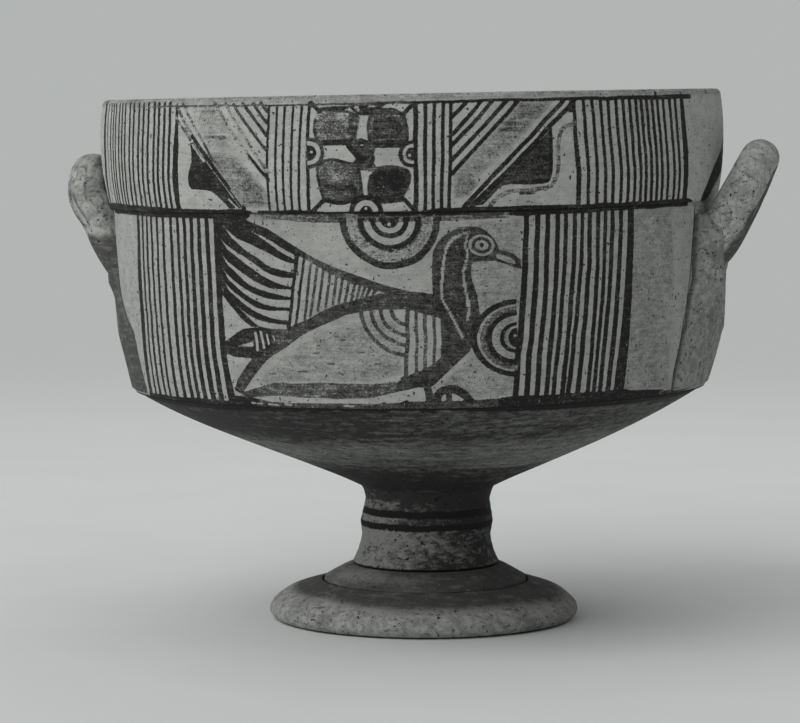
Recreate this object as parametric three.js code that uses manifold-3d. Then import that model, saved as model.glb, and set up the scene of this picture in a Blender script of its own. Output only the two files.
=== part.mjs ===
// Two-handled footed bowl of fired, painted clay: a deep bowl with a sharp turn low on its side,
// a set-off rim band, two upturned loop handles, and a hollow stem on a disc foot.
// It was made in sections that were laid into each other and luted with clay.
// Millimetres, +Z up. The origin is on the ground under the middle of the whole width.
// The decorated front faces -Y and the handles lie on the X axis.

import * as THREE from 'three';
import { mergeVertices } from 'three/addons/utils/BufferGeometryUtils.js';
import Module from 'manifold-3d';

const wasm = await Module();
wasm.setup();

// Heights, each set by itself and stacked from the ground up
const footSeatHeight = 14.5;
const stemHeight = 41.6;
const floorRise = 43.4;
const wallHeight = 76.1;
const rimBandHeight = 45.4;

// Outer radii
const footRadius = 65.5;
const stemRadius = 28.2;
const carinationRadius = 120.6;
const wallTopRadius = 126;

// The rim band is a barrel that overhangs the wall, widest three fifths of the way up.
const rimOverhang = 1.3;
const bandBulge = 3.3;
const bandPeak = 0.6;

// Clay thicknesses
const wallThickness = 5.8;
const rimThickness = 6;
const floorThickness = 6.6;
const stemThickness = 10;

// Joints between the sections
const clearance = 0.3;
const lapHeight = 4.2;
const lapThickness = 2.7;
const tenonHeight = 4;
const tenonStep = 3;
const spigotHeight = 6;
const spigotStep = 3;

// Foot, with a rounded edge and a flat ring to stand on
const footRingWidth = 5.5;
const footRingInset = 4.2;
const footEdgeHeight = 4;
const footRounding = 7.4;
const collarHeight = 10.1;
const collarReach = 14.2;

// Handles and the clay that holds them
const coilRadius = 8;
const rootRadius = 10.6;
const armSpread = 21;
const barStandLeft = 15.2;
const barStandRight = 22.8;
const barRise = 16;
const rootDrop = 25;
const rootSink = 7.5;
const padThicknessLeft = 3.6;
const padThicknessRight = 4.8;
const padEdgeThickness = 0.9;
const padHalfWidth = 25;
const padSpread = 36;
const padSpreadWide = 52;
const padTopGap = 5;
const padFlareDrop = 6;
const padFlareHeight = 26.6;
const padBite = 2;

// The pot is handmade: its middle drifts sideways and its rim is not level.
const driftAtCollar = 1;
const driftAtStemTop = 1.9;
const driftAtCarination = -1.5;
const driftAtLip = -5.2;
const slopeAtCarination = 0.0125;
const slopeAtLip = 0.0194;

// Fineness of the turned and swept surfaces
const turnSegments = 60;
const stemSegments = 40;
const coilSides = 12;
const coilSteps = 24;
const padColumns = 14;
const padRows = 12;

// Levels worked out from the heights
const seatLevel = footSeatHeight;
const collarTopLevel = seatLevel + collarHeight;
const stemTopLevel = seatLevel + stemHeight;
const carinationLevel = stemTopLevel + floorRise;
const offsetLevel = carinationLevel + wallHeight;
const lipLevel = offsetLevel + rimBandHeight;

// Radii worked out from the radii and the joints
const rimRadius = wallTopRadius + rimOverhang + bandBulge;
const footRingInner = footRadius - footRingInset - footRingWidth;
const stemBaseRadius = stemRadius + 1.1;
const collarRadius = stemBaseRadius + collarReach;
const tongueOuter = carinationRadius - wallThickness + lapThickness;
const wallTongueOuter = wallTopRadius - wallThickness + lapThickness;

// Neck of the stem where it enters the bowl, and the hollow that runs up the pedestal
const stemNeckRadius = stemRadius - 2.2;
const tenonRadius = stemNeckRadius - tenonStep;
const spigotRadius = stemRadius + 1 - spigotStep;
const hollowTopRadius = stemNeckRadius - stemThickness - tenonStep / 2;
const hollowBaseRadius = spigotRadius - stemThickness / 2;


// A list of evenly spaced numbers from one value to another
function steps(from, to, count) {
  return Array.from({ length: count + 1 }, (_, i) => from + (to - from) * i / count);
}

// Outer radius of the wall, which leans out and straightens towards the top
const wallCurve = 2.2;

function wallRadius(z) {
  const t = THREE.MathUtils.clamp((z - carinationLevel) / wallHeight, 0, 1);
  return carinationRadius + (wallTopRadius - carinationRadius) * (1 - (1 - t) ** wallCurve);
}

// Outer radius of the rim band
function bandRadius(z) {
  const t = (z - offsetLevel) / rimBandHeight;
  return rimRadius - bandBulge * ((t - bandPeak) / bandPeak) ** 2;
}

// Height of the bowl's underside, nearly a cone, which steepens towards the turn
const bossRadius = stemNeckRadius + 2;
const coneShare = 0.86;
const coneCurve = 0.93;
const turnCurve = 4;

function undersideHeight(r) {
  const t = (r - bossRadius) / (carinationRadius - bossRadius);
  return stemTopLevel + floorRise * (coneShare * t ** coneCurve + (1 - coneShare) * t ** turnCurve);
}

// Turn an outline, drawn anticlockwise as [radius, height], round the Z axis
function turn(outline, segments = turnSegments) {
  const points = [...outline, outline[0]].map(([r, z]) => new THREE.Vector2(r, z));
  return new THREE.LatheGeometry(points, segments).rotateX(Math.PI / 2);
}

// Blend between [level, value] pairs with a gentle start and end to each stretch
function eased(pairs, z) {
  if (z <= pairs[0][0]) return pairs[0][1];
  for (let i = 1; i < pairs.length; i += 1) {
    const [z0, v0] = pairs[i - 1];
    const [z1, v1] = pairs[i];
    if (z <= z1) return v0 + (v1 - v0) * (1 - Math.cos(Math.PI * (z - z0) / (z1 - z0))) / 2;
  }
  return pairs[pairs.length - 1][1];
}

const drift = [[0, 0], [collarTopLevel, driftAtCollar], [stemTopLevel, driftAtStemTop],
  [carinationLevel, driftAtCarination], [lipLevel, driftAtLip]];
const slope = [[stemTopLevel, 0], [carinationLevel, slopeAtCarination], [lipLevel, slopeAtLip]];

// Give a piece the pot's handmade lean, the same at each height for every piece
function lean(geometry) {
  const position = geometry.attributes.position;
  for (let i = 0; i < position.count; i += 1) {
    const x = position.getX(i);
    const z = position.getZ(i);
    position.setX(i, x + eased(drift, z));
    position.setZ(i, z + x * eased(slope, z));
  }
  geometry.computeVertexNormals();
  return geometry;
}

// To and from solids that can be joined and cut
function toSolid(geometry) {
  const bare = geometry.clone();
  bare.deleteAttribute('normal');
  bare.deleteAttribute('uv');
  const merged = mergeVertices(bare, 1e-4);
  return new wasm.Manifold(new wasm.Mesh({
    numProp: 3,
    vertProperties: new Float32Array(merged.attributes.position.array),
    triVerts: new Uint32Array(merged.index.array),
  }));
}

function toGeometry(solid) {
  const mesh = solid.getMesh();
  const geometry = new THREE.BufferGeometry();
  geometry.setAttribute('position', new THREE.BufferAttribute(new Float32Array(mesh.vertProperties), 3));
  geometry.setIndex(new THREE.BufferAttribute(new Uint32Array(mesh.triVerts), 1));
  return geometry;
}

// A closed grid of rings: rings[i][j] are points, and each ring runs round the one before it
function skinRings(rings) {
  const sides = rings[0].length;
  const points = [...rings.flat(), average(rings[0]), average(rings[rings.length - 1])];
  const startCentre = rings.length * sides;
  const endCentre = startCentre + 1;
  const faces = [];
  for (let i = 0; i < rings.length - 1; i += 1) {
    for (let j = 0; j < sides; j += 1) {
      const a = i * sides + j;
      const b = i * sides + (j + 1) % sides;
      faces.push(a, b, b + sides, a, b + sides, a + sides);
    }
  }
  const last = (rings.length - 1) * sides;
  for (let j = 0; j < sides; j += 1) {
    const next = (j + 1) % sides;
    faces.push(startCentre, next, j);
    faces.push(endCentre, last + j, last + next);
  }
  const geometry = new THREE.BufferGeometry().setFromPoints(points);
  geometry.setIndex(faces);
  return geometry;
}

function average(points) {
  return points.reduce((sum, point) => sum.add(point), new THREE.Vector3()).divideScalar(points.length);
}


// Disc foot: a gently sloping top and a thick rounded edge, hollow below, with a hole for the spigot
function footDisc() {
  const edge = footRadius;
  const top = footSeatHeight;
  const shoulder = edge - footRounding;
  const slopeStart = collarRadius + clearance;
  const hollowInner = spigotRadius + 5;
  return turn([
    [footRingInner, 0],
    [edge - footRingInset, 0],
    [edge - 1.3, footEdgeHeight * 0.3],
    [edge, footEdgeHeight],
    [edge - 0.6, footEdgeHeight + 2],
    [edge - 3.5, top - 5.6],
    [edge - 6.1, top - 3.1],
    [shoulder, top - 2.2],
    [THREE.MathUtils.lerp(slopeStart, shoulder, 0.68), top - 0.9],
    [slopeStart, top + 1.9],
    [slopeStart, top],
    [spigotRadius + clearance, top],
    [spigotRadius + clearance, top - spigotHeight],
    [hollowInner, top - spigotHeight - 1],
    [THREE.MathUtils.lerp(hollowInner, footRingInner, 0.43), footEdgeHeight + 1.5],
    [footRingInner - 3, 1.5],
  ]);
}

// Clay smoothed over the joint of stem and foot, with a groove left at its top
function footCollar() {
  const inner = stemBaseRadius + clearance;
  return turn([
    [inner, seatLevel + clearance],
    [collarRadius, seatLevel + clearance],
    [collarRadius, seatLevel + 2],
    [collarRadius - 1.8, seatLevel + 2.9],
    [collarRadius - 5, collarTopLevel - 4.5],
    [collarRadius - 8.6, collarTopLevel - 1.9],
    [inner + 1.8, collarTopLevel - 0.1],
    [inner, collarTopLevel - 1],
  ], stemSegments);
}

// Hollow stem with a spigot below and a tenon above
function stem() {
  const base = stemBaseRadius;
  const shaftStart = collarTopLevel + 6;
  const shaftEnd = stemTopLevel - 9;
  return turn([
    [hollowBaseRadius, seatLevel - spigotHeight],
    [spigotRadius, seatLevel - spigotHeight],
    [spigotRadius, seatLevel + clearance],
    [base, seatLevel + clearance],
    [base, collarTopLevel - 0.7],
    [base + 1.5, collarTopLevel + 0.5],
    [base + 0.1, collarTopLevel + 2.6],
    [stemRadius + 0.5, shaftStart],
    [stemRadius, THREE.MathUtils.lerp(shaftStart, shaftEnd, 0.6)],
    [stemRadius - 0.8, shaftEnd],
    [stemNeckRadius, stemTopLevel - 5.2],
    [stemNeckRadius, stemTopLevel - clearance],
    [tenonRadius, stemTopLevel - clearance],
    [tenonRadius, stemTopLevel + tenonHeight - clearance],
    [hollowTopRadius, stemTopLevel + tenonHeight - clearance],
    [hollowTopRadius + 1, collarTopLevel + 8],
  ], stemSegments);
}

// Clay worked into the corner under the bowl
function stemCollar() {
  const inner = stemNeckRadius + clearance;
  const top = stemTopLevel - clearance;
  return turn([
    [inner, top - 4.6],
    [inner + 0.6, top - 4.6],
    [inner + 1, top - 2.4],
    [inner + 2.7, top],
    [inner, top],
  ], stemSegments);
}

// Lower bowl: a shallow cone with a socket for the stem and a tongue for the wall
function bowlFloor() {
  const socketRadius = tenonRadius + clearance;
  const undersideRadii = steps(bossRadius + 3.5, carinationRadius - 3, 6);
  const insideRadii = steps(carinationRadius - wallThickness - 6, bossRadius + 17, 4);
  return turn([
    [0, stemTopLevel + tenonHeight],
    [socketRadius, stemTopLevel + tenonHeight],
    [socketRadius, stemTopLevel],
    [bossRadius + 1, stemTopLevel],
    ...undersideRadii.map((r) => [r, undersideHeight(r)]),
    [carinationRadius - 0.9, carinationLevel - 1.4],
    [carinationRadius, carinationLevel],
    [tongueOuter, carinationLevel],
    [tongueOuter, carinationLevel + lapHeight],
    [carinationRadius - wallThickness, carinationLevel + lapHeight],
    ...insideRadii.map((r) => [r, undersideHeight(r) + floorThickness]),
    [0, stemTopLevel + tenonHeight + floorThickness],
  ]);
}

// Upper wall, lapped over the tongue of the floor, with its own tongue for the rim band
function bowlWall() {
  const foot = carinationLevel + clearance;
  const top = offsetLevel - clearance;
  const outside = steps(foot, top, 5);
  const inside = steps(top, carinationLevel + lapHeight + clearance, 4);
  return turn([
    [tongueOuter + clearance, foot],
    ...outside.map((z) => [wallRadius(z), z]),
    [wallTongueOuter, top],
    [wallTongueOuter, offsetLevel + lapHeight],
    [wallTopRadius - wallThickness, offsetLevel + lapHeight],
    ...inside.map((z) => [wallRadius(z) - wallThickness, z]),
    [tongueOuter + clearance, carinationLevel + lapHeight + clearance],
  ]);
}

// Rim band with its plain rounded lip, lapped over the tongue of the wall
function rimBand() {
  const lapTop = offsetLevel + lapHeight + clearance;
  const outside = steps(offsetLevel + 1.2, lipLevel - 1.4, 5);
  const inside = steps(lipLevel - 2.2, lapTop + 5, 3);
  const inner = wallTopRadius - wallThickness;
  return turn([
    [wallTongueOuter + clearance, offsetLevel],
    [bandRadius(offsetLevel) - 0.7, offsetLevel],
    ...outside.map((z) => [bandRadius(z), z]),
    [bandRadius(lipLevel) - 1.1, lipLevel],
    [bandRadius(lipLevel) - rimThickness + 1.6, lipLevel],
    [bandRadius(lipLevel) - rimThickness + 0.5, lipLevel - 0.6],
    ...inside.map((z) => [bandRadius(z) - rimThickness, z]),
    [inner, lapTop],
    [wallTongueOuter + clearance, lapTop],
  ]);
}

// Everything that a handle or its pad must stay clear of: the wall and the rim band
function bodyEnvelope() {
  const wallLevels = [carinationLevel - 2, ...steps(carinationLevel + clearance, offsetLevel - clearance, 5)];
  const bandLevels = [offsetLevel - clearance, ...steps(offsetLevel + 1.2, lipLevel - 1.4, 5), lipLevel];
  return turn([
    [0, carinationLevel - 2],
    ...wallLevels.map((z) => [wallRadius(z) + clearance, z]),
    ...bandLevels.map((z) => [bandRadius(Math.max(z, offsetLevel)) + clearance, z]),
    [0, lipLevel],
  ]);
}


// Middle line of an arm from inside the wall to the bar, as shares of its run outwards and its rise.
// The left arms rise steeper at the end than the right ones.
const armRight = [[-0.26, -0.2], [0, 0], [0.27, 0.215], [0.54, 0.44], [0.78, 0.72], [0.94, 0.92], [1, 1]];
const armLeft = [[-0.3, -0.22], [0, 0], [0.33, 0.31], [0.63, 0.53], [0.88, 0.73], [0.99, 0.92], [1, 1]];
const armWidth = [1, 1, 1, 1, 0.96, 0.66, 0.3];

// Middle line of a handle: two arms rise from the wall and meet in a bar, all as seen on +X
function handleCurve(barStand, arm) {
  const rootX = wallTopRadius - rootSink;
  const rootZ = offsetLevel - rootDrop;
  const run = rimRadius + barStand - coilRadius - rootX;
  const rise = barRise + rootDrop;
  const half = arm.map(([out, up], i) => [rootX + out * run, armWidth[i] * armSpread, rootZ + up * rise]);
  const mirrored = half.map(([x, y, z]) => [x, -y, z]).reverse();
  const points = [...half, ...mirrored].map((p) => new THREE.Vector3(...p));
  return new THREE.CatmullRomCurve3(points, false, 'centripetal');
}

// A round coil along a curve, thicker towards its two ends, where it stays thick over the first stretch
const swellStart = 1.08;
const swellLength = 0.36;
const swellCurve = 1.2;

function coil(curve, middleRadius, endRadius) {
  const frames = curve.computeFrenetFrames(coilSteps, false);
  const rings = steps(0, 1, coilSteps).map((t, i) => {
    const fromEnd = Math.min(t, 1 - t);
    const swell = THREE.MathUtils.clamp(swellStart - fromEnd / swellLength, 0, 1) ** swellCurve;
    const radius = middleRadius + (endRadius - middleRadius) * swell;
    const centre = curve.getPointAt(t);
    return steps(0, 2 * Math.PI, coilSides).slice(0, coilSides).map((angle) => centre.clone()
      .addScaledVector(frames.normals[i], radius * Math.cos(angle))
      .addScaledVector(frames.binormals[i], radius * Math.sin(angle)));
  });
  return skinRings(rings);
}

// One loop handle, its two roots shaped to the wall
function handle(barStand, arm) {
  const loop = toSolid(coil(handleCurve(barStand, arm), coilRadius, rootRadius));
  return largestBody(loop.subtract(toSolid(bodyEnvelope())));
}

// Half width of a pad at a height: narrow between the roots and spread below them
function padWidth(z, spread) {
  const flareTop = offsetLevel - rootDrop - padFlareDrop;
  const t = THREE.MathUtils.clamp((flareTop - z) / padFlareHeight, 0, 1);
  return padHalfWidth + (spread - padHalfWidth) * t;
}

// Clay smeared over the roots of a handle and down to the turn of the bowl
function handlePad(barStand, arm, padThickness, negativeSpread, positiveSpread) {
  const bottom = carinationLevel + 1;
  const top = offsetLevel - padTopGap;
  const rings = steps(bottom, top, padRows).map((z) => {
    const rise = (z - bottom) / (top - bottom);
    const across = steps(-1, 1, padColumns).map((s) => {
      const width = padWidth(z, s < 0 ? negativeSpread : positiveSpread);
      const body = (1 - s ** 4) * Math.min(1, 0.35 + 1.3 * rise);
      const thickness = padEdgeThickness + (padThickness - padEdgeThickness) * body;
      const angle = s * width / wallRadius(z);
      return [wallRadius(z) + thickness, angle];
    });
    const outer = across.map(([r, angle]) => new THREE.Vector3(r * Math.cos(angle), r * Math.sin(angle), z));
    const inner = across.map(([, angle]) => {
      const r = wallRadius(z) - padBite;
      return new THREE.Vector3(r * Math.cos(angle), r * Math.sin(angle), z);
    }).reverse();
    return [...outer, ...inner];
  });
  const strip = toSolid(skinRings(rings));
  const roots = toSolid(coil(handleCurve(barStand, arm), coilRadius + clearance, rootRadius + clearance));
  return largestBody(strip.subtract(toSolid(bodyEnvelope())).subtract(roots));
}

// A cut can leave thin flakes behind the roots, which the potter would wipe away
function largestBody(solid) {
  return solid.decompose().sort((a, b) => b.volume() - a.volume())[0];
}


// Fired clay, pale slip and matt paint
const palette = {
  slip: { color: 0xa9aca8, roughness: 0.85 },
  paint: { color: 0x4a4b47, roughness: 0.8 },
  clay: { color: 0x8b8d88, roughness: 0.9 },
};

const vessel = new THREE.Group();

function add(name, geometry, finish, halfTurn = false) {
  if (halfTurn) geometry.rotateZ(Math.PI);
  const material = new THREE.MeshStandardMaterial({ ...palette[finish], metalness: 0 });
  const mesh = new THREE.Mesh(lean(geometry), material);
  mesh.name = name;
  vessel.add(mesh);
}

add('foot_disc', footDisc(), 'clay');
add('foot_collar', footCollar(), 'clay');
add('stem', stem(), 'paint');
add('stem_collar', stemCollar(), 'paint');
add('bowl_floor', bowlFloor(), 'paint');
add('bowl_wall', bowlWall(), 'slip');
add('rim_band', rimBand(), 'slip');
const padRight = handlePad(barStandRight, armRight, padThicknessRight, padSpread, padSpread);
const padLeft = handlePad(barStandLeft, armLeft, padThicknessLeft, padSpread, padSpreadWide);
add('handle_right', toGeometry(handle(barStandRight, armRight)), 'clay');
add('handle_pad_right', toGeometry(padRight), 'clay');
add('handle_left', toGeometry(handle(barStandLeft, armLeft)), 'clay', true);
add('handle_pad_left', toGeometry(padLeft), 'clay', true);

// Stand the vessel with the origin under the middle of its whole width
const bounds = new THREE.Box3().setFromObject(vessel);
vessel.position.x = -bounds.getCenter(new THREE.Vector3()).x;

export default vessel;
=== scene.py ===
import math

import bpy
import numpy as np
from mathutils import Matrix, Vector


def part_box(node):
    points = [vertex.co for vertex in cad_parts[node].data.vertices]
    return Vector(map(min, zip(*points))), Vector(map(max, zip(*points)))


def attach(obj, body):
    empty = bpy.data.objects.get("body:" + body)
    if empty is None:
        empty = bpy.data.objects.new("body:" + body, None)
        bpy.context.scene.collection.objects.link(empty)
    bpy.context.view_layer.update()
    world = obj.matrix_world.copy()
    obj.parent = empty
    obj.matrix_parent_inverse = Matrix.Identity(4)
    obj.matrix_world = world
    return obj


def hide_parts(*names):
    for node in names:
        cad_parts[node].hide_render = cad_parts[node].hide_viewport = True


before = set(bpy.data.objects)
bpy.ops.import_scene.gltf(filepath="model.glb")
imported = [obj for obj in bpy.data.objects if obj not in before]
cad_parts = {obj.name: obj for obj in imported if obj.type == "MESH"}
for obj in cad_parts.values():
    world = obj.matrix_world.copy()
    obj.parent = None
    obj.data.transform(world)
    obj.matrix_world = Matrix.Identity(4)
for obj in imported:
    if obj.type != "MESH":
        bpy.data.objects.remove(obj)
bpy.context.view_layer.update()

# Two-handled footed bowl of fired, painted clay, standing on a plain floor.
# Each turned, rolled or smeared piece is modelled in millimetres round the pot's own axis, given the
# pot's handmade lean, and written in metres. The painting is drawn on the wall and the band as if they
# were unrolled, once for the front and once for the back: s runs along the wall to the right of the
# middle of that side, and z is the height.

MM = 0.001


def half_depth(node):
    """Half the depth of a node, front to back, in millimetres: the radius of a turned piece."""
    low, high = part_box(node)
    return (high.y - low.y) / 2 / MM


# Levels in millimetres, stacked as the sections of the pot are
SEAT = 14.5
COLLAR_TOP = 24.6
STEM_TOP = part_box("bowl_floor")[0].z / MM
TURN = STEM_TOP + 43.4
OFFSET = TURN + 76.1
LIP = OFFSET + 45.4

# Outer radii, from the frame, and clay thicknesses
FOOT_RADIUS = half_depth("foot_disc")
COLLAR_RADIUS = half_depth("foot_collar")
STEM_RADIUS = 28.2
TURN_RADIUS = half_depth("bowl_floor")
WALL_RADIUS = half_depth("bowl_wall")
RIM_RADIUS = half_depth("rim_band")
BOSS_RADIUS = STEM_RADIUS - 0.2
WALL_THICKNESS = 5.8
RIM_THICKNESS = 6
FLOOR_THICKNESS = 6.6
FOOT_EDGE = 4

# How fast the wall turns upright, where the band is widest as a share of its height, and how far it is
# drawn in at the offset
WALL_BEND = 2.2
BAND_WIDEST = 0.6
BAND_TUCK = 3.3

# Handle coils and the clay smeared over their roots
COIL_RADIUS = 8
ROOT_RADIUS = 10.6
ARM_SPREAD = 21
NEAR_ARM_SPREAD = {"left": 21, "right": 24.5}
BAR_STAND = {"left": 15.2, "right": 22.8}
BAR_RISE = {"left": 14.4, "right": 16}
ROOT_DROP = 25
ROOT_SINK = 7.5
PAD_THICKNESS = {"left": 3.6, "right": 4.8}

# Grids of a coil and of a pad, and how deep a coil's surface may lie in the wall
COIL_STEP = 1.4
COIL_SIDES = 40
COIL_SINK = 2.2
PAD_ROWS = 74
PAD_COLUMNS = 76

# The materials read these numbers from the points of a piece. ink and wash are the depths inside the
# edges of the paint and of a thin veil of it, in millimetres, negative outside and never beyond REACH,
# and in places they also carry painted shade. tone and veil are how thick each is, kept is how much
# wear the dark paint stands before the clay shows, and in places painted shade too, inside is 1 in the
# bowl, and pitted is how much of the clay is pitted.
REACH = 2.5

# Unrolled lengths are measured at this radius.
UNROLL_RADIUS = 126
HALF_ROUND = math.pi * UNROLL_RADIUS

# The whole drawing stands this far to the left of where its own numbers put it.
DRAWING_SHIFT = 1

# Spacing of the grid where the wall and the band are painted, and where they are plain
FINE = 0.55
PLAIN = 3


def progress(value, start, width):
    """How far a value has come from a start over a width, from 0 to 1."""
    return np.clip((value - start) / width, 0, 1)


def eased(pairs, z):
    """Blend between (level, value) pairs with a gentle start and end to each stretch."""
    z = np.asarray(z, float)
    value = np.full(z.shape, float(pairs[0][1]))
    for (z0, v0), (z1, v1) in zip(pairs, pairs[1:]):
        t = progress(z, z0, z1 - z0)
        value = np.where(z > z0, v0 + (v1 - v0) * (1 - np.cos(math.pi * t)) / 2, value)
    return value


DRIFT = [(0, 0), (COLLAR_TOP, 1), (STEM_TOP, 1.9), (TURN, -1.5), (LIP, -5.2)]
SLOPE = [(STEM_TOP, 0), (TURN, 0.0125), (LIP, 0.0194)]
foot_low, foot_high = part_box("foot_disc")
SHIFT = (foot_low.x + foot_high.x) / 2 / MM - float(eased(DRIFT, FOOT_EDGE))


def lean(points):
    """The pot's handmade lean: its middle drifts sideways and its rim is not level."""
    x, y, z = points[:, 0], points[:, 1], points[:, 2]
    return np.stack([x + eased(DRIFT, z) + SHIFT, y, z + x * eased(SLOPE, z)], axis=1)


def wall_radius(z):
    """Radius of the wall at a height."""
    t = progress(z, TURN, OFFSET - TURN)
    return TURN_RADIUS + (WALL_RADIUS - TURN_RADIUS) * (1 - (1 - t) ** WALL_BEND)


def band_radius(z):
    """Radius of the rim band at a height."""
    t = (z - OFFSET) / (LIP - OFFSET)
    return RIM_RADIUS - BAND_TUCK * ((t - BAND_WIDEST) / BAND_WIDEST) ** 2


def underside_height(r):
    """Height of the underside at a radius: nearly a cone, a little steeper towards the turn."""
    t = progress(r, BOSS_RADIUS, TURN_RADIUS - BOSS_RADIUS)
    return STEM_TOP + (TURN - STEM_TOP) * (0.86 * t ** 0.93 + 0.14 * t ** 4)


# Hand of the potter

CELLS = 64


def mottle(u, v, seed, period=CELLS):
    """Smooth random values from 0 to 1 over cells of size 1, which repeat every period cells along u."""
    table = np.random.default_rng(seed).random((period, CELLS))
    i, j = np.floor(u).astype(int), np.floor(v).astype(int)
    a, b = u - i, v - j
    a, b = a * a * (3 - 2 * a), b * b * (3 - 2 * b)
    i, j, next_i, next_j = i % period, j % CELLS, (i + 1) % period, (j + 1) % CELLS
    near = table[i, j] * (1 - a) + table[next_i, j] * a
    far = table[i, next_j] * (1 - a) + table[next_i, next_j] * a
    return near * (1 - b) + far * b


def wheel_marks(angle, along, seed, depth=0.16, pitch=4.2):
    """Inward relief in millimetres left by the wheel and the hand: faint rings and shallow lumps."""
    turn = angle / (2 * math.pi)
    wander = mottle(turn * 9, along / 30, seed, 9) * pitch
    rings = 0.5 + 0.5 * np.sin(2 * math.pi * (along + wander) / pitch)
    lumps = mottle(turn * 26, along / 14, seed + 1, 26)
    pits = np.clip(mottle(turn * 240, along / 3.2, seed + 2, 240) - 0.9, 0, 1) * 4
    return depth * (0.45 * rings + 1.1 * lumps + pits) + 0.02


# Meshes

def smooth(points, steps=6, closed=False):
    """A smooth curve through the points."""
    points = np.asarray(points, float)
    if closed:
        padded = np.concatenate([points[-1:], points, points[:2]])
    else:
        padded = np.concatenate([2 * points[:1] - points[1:2], points, 2 * points[-1:] - points[-2:-1]])
    result = []
    for p0, p1, p2, p3 in zip(padded, padded[1:], padded[2:], padded[3:]):
        gap = [max(np.linalg.norm(b - a) ** 0.5, 1e-6) for a, b in ((p0, p1), (p1, p2), (p2, p3))]
        start = (p1 - p0) / gap[0] - (p2 - p0) / (gap[0] + gap[1]) + (p2 - p1) / gap[1]
        end = (p2 - p1) / gap[1] - (p3 - p1) / (gap[1] + gap[2]) + (p3 - p2) / gap[2]
        for t in np.linspace(0, 1, steps, endpoint=False):
            result.append(
                p1 * (2 * t ** 3 - 3 * t ** 2 + 1) + start * gap[1] * (t ** 3 - 2 * t ** 2 + t)
                + p2 * (3 * t ** 2 - 2 * t ** 3) + end * gap[1] * (t ** 3 - t ** 2)
            )
    if not closed:
        result.append(points[-1])
    return np.array(result)


def even(points, spacing):
    """The same line with points an even spacing apart."""
    points = np.asarray(points, float)
    length = np.concatenate([[0], np.cumsum(np.linalg.norm(np.diff(points, axis=0), axis=1))])
    count = max(2, round(length[-1] / spacing) + 1)
    at = np.linspace(0, length[-1], count)
    return np.stack([np.interp(at, length, points[:, k]) for k in range(points.shape[1])], axis=1)


def grid_faces(columns, levels, closed_across=False, closed_up=False):
    """Corners of the faces of a grid of points, which are numbered column by column."""
    across = np.arange(columns if closed_across else columns - 1)
    up = np.arange(levels if closed_up else levels - 1)
    i, j = np.meshgrid(across, up, indexing="ij")
    beside, above = (i + 1) % columns, (j + 1) % levels
    corners = (i, j), (beside, j), (beside, above), (i, above)
    return np.stack([column * levels + level for column, level in corners], -1).reshape(-1, 4)


def make_mesh(node, points, quads, triangles=()):
    """A smooth shaded mesh in metres, for a node, from points in the pot's upright millimetres."""
    mesh = bpy.data.meshes.new(node + "_clay")
    corners = np.concatenate([np.ravel(quads), np.ravel(triangles)]).astype(np.int32)
    sizes = np.concatenate([np.full(len(quads), 4), np.full(len(triangles), 3)])
    starts = np.concatenate([[0], np.cumsum(sizes)[:-1]]).astype(np.int32)
    mesh.vertices.add(len(points))
    mesh.vertices.foreach_set("co", (lean(points) * MM).astype(np.float32).ravel())
    mesh.loops.add(len(corners))
    mesh.loops.foreach_set("vertex_index", corners)
    mesh.polygons.add(len(sizes))
    mesh.polygons.foreach_set("loop_start", starts)
    mesh.update(calc_edges=True)
    mesh.validate()
    mesh.shade_smooth()
    return mesh


def add_piece(mesh, node, slot, material, **values):
    """Put a mesh into the scene as the piece that stands for a node.

    The values are numbers for each of its points, which its material reads by their names.
    """
    for name, numbers in values.items():
        made = mesh.attributes.new(name, "FLOAT", "POINT")
        made.data.foreach_set("value", np.ravel(numbers).astype(np.float32))
    piece = bpy.data.objects.new(mesh.name, mesh)
    bpy.context.scene.collection.objects.link(piece)
    mesh.materials.append(material)
    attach(piece, "root")
    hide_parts(node)


def spaced(*stops):
    """Values from stop to stop, where each stop is (value, spacing up to the next one)."""
    values = []
    for (start, step), (end, _) in zip(stops, stops[1:]):
        values.extend(np.linspace(start, end, max(1, round((end - start) / step)), endpoint=False))
    return np.array(values)


def turned(node, outline, angles, marks=None, closed=True):
    """Turn an outline, drawn anticlockwise as (radius, height), to each angle. Angle 0 is the front.

    An outline that isn't closed starts and ends on the axis, and its two end points are left out of the
    grid and put there once.
    """
    rows = outline if closed else outline[1:-1]
    angle, radius = np.meshgrid(angles, rows[:, 0], indexing="ij")
    height = np.broadcast_to(rows[:, 1], radius.shape)
    if marks is not None:
        radius = radius - marks(angle, radius, height)
    x, y = radius * np.sin(angle), -radius * np.cos(angle)
    points = np.stack([x, y, height], axis=-1).reshape(-1, 3)
    columns, levels = angle.shape
    triangles = []
    if not closed:
        column = np.arange(columns)
        beside = (column + 1) % columns
        first = np.full(columns, len(points))
        points = np.concatenate([points, [[0, 0, outline[0, 1]], [0, 0, outline[-1, 1]]]])
        triangles = np.concatenate([
            np.stack([first, beside * levels, column * levels], -1),
            np.stack([column * levels + levels - 1, beside * levels + levels - 1, first + 1], -1),
        ])
    return make_mesh(node, points, grid_faces(columns, levels, True, closed), triangles), angle, height


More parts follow.
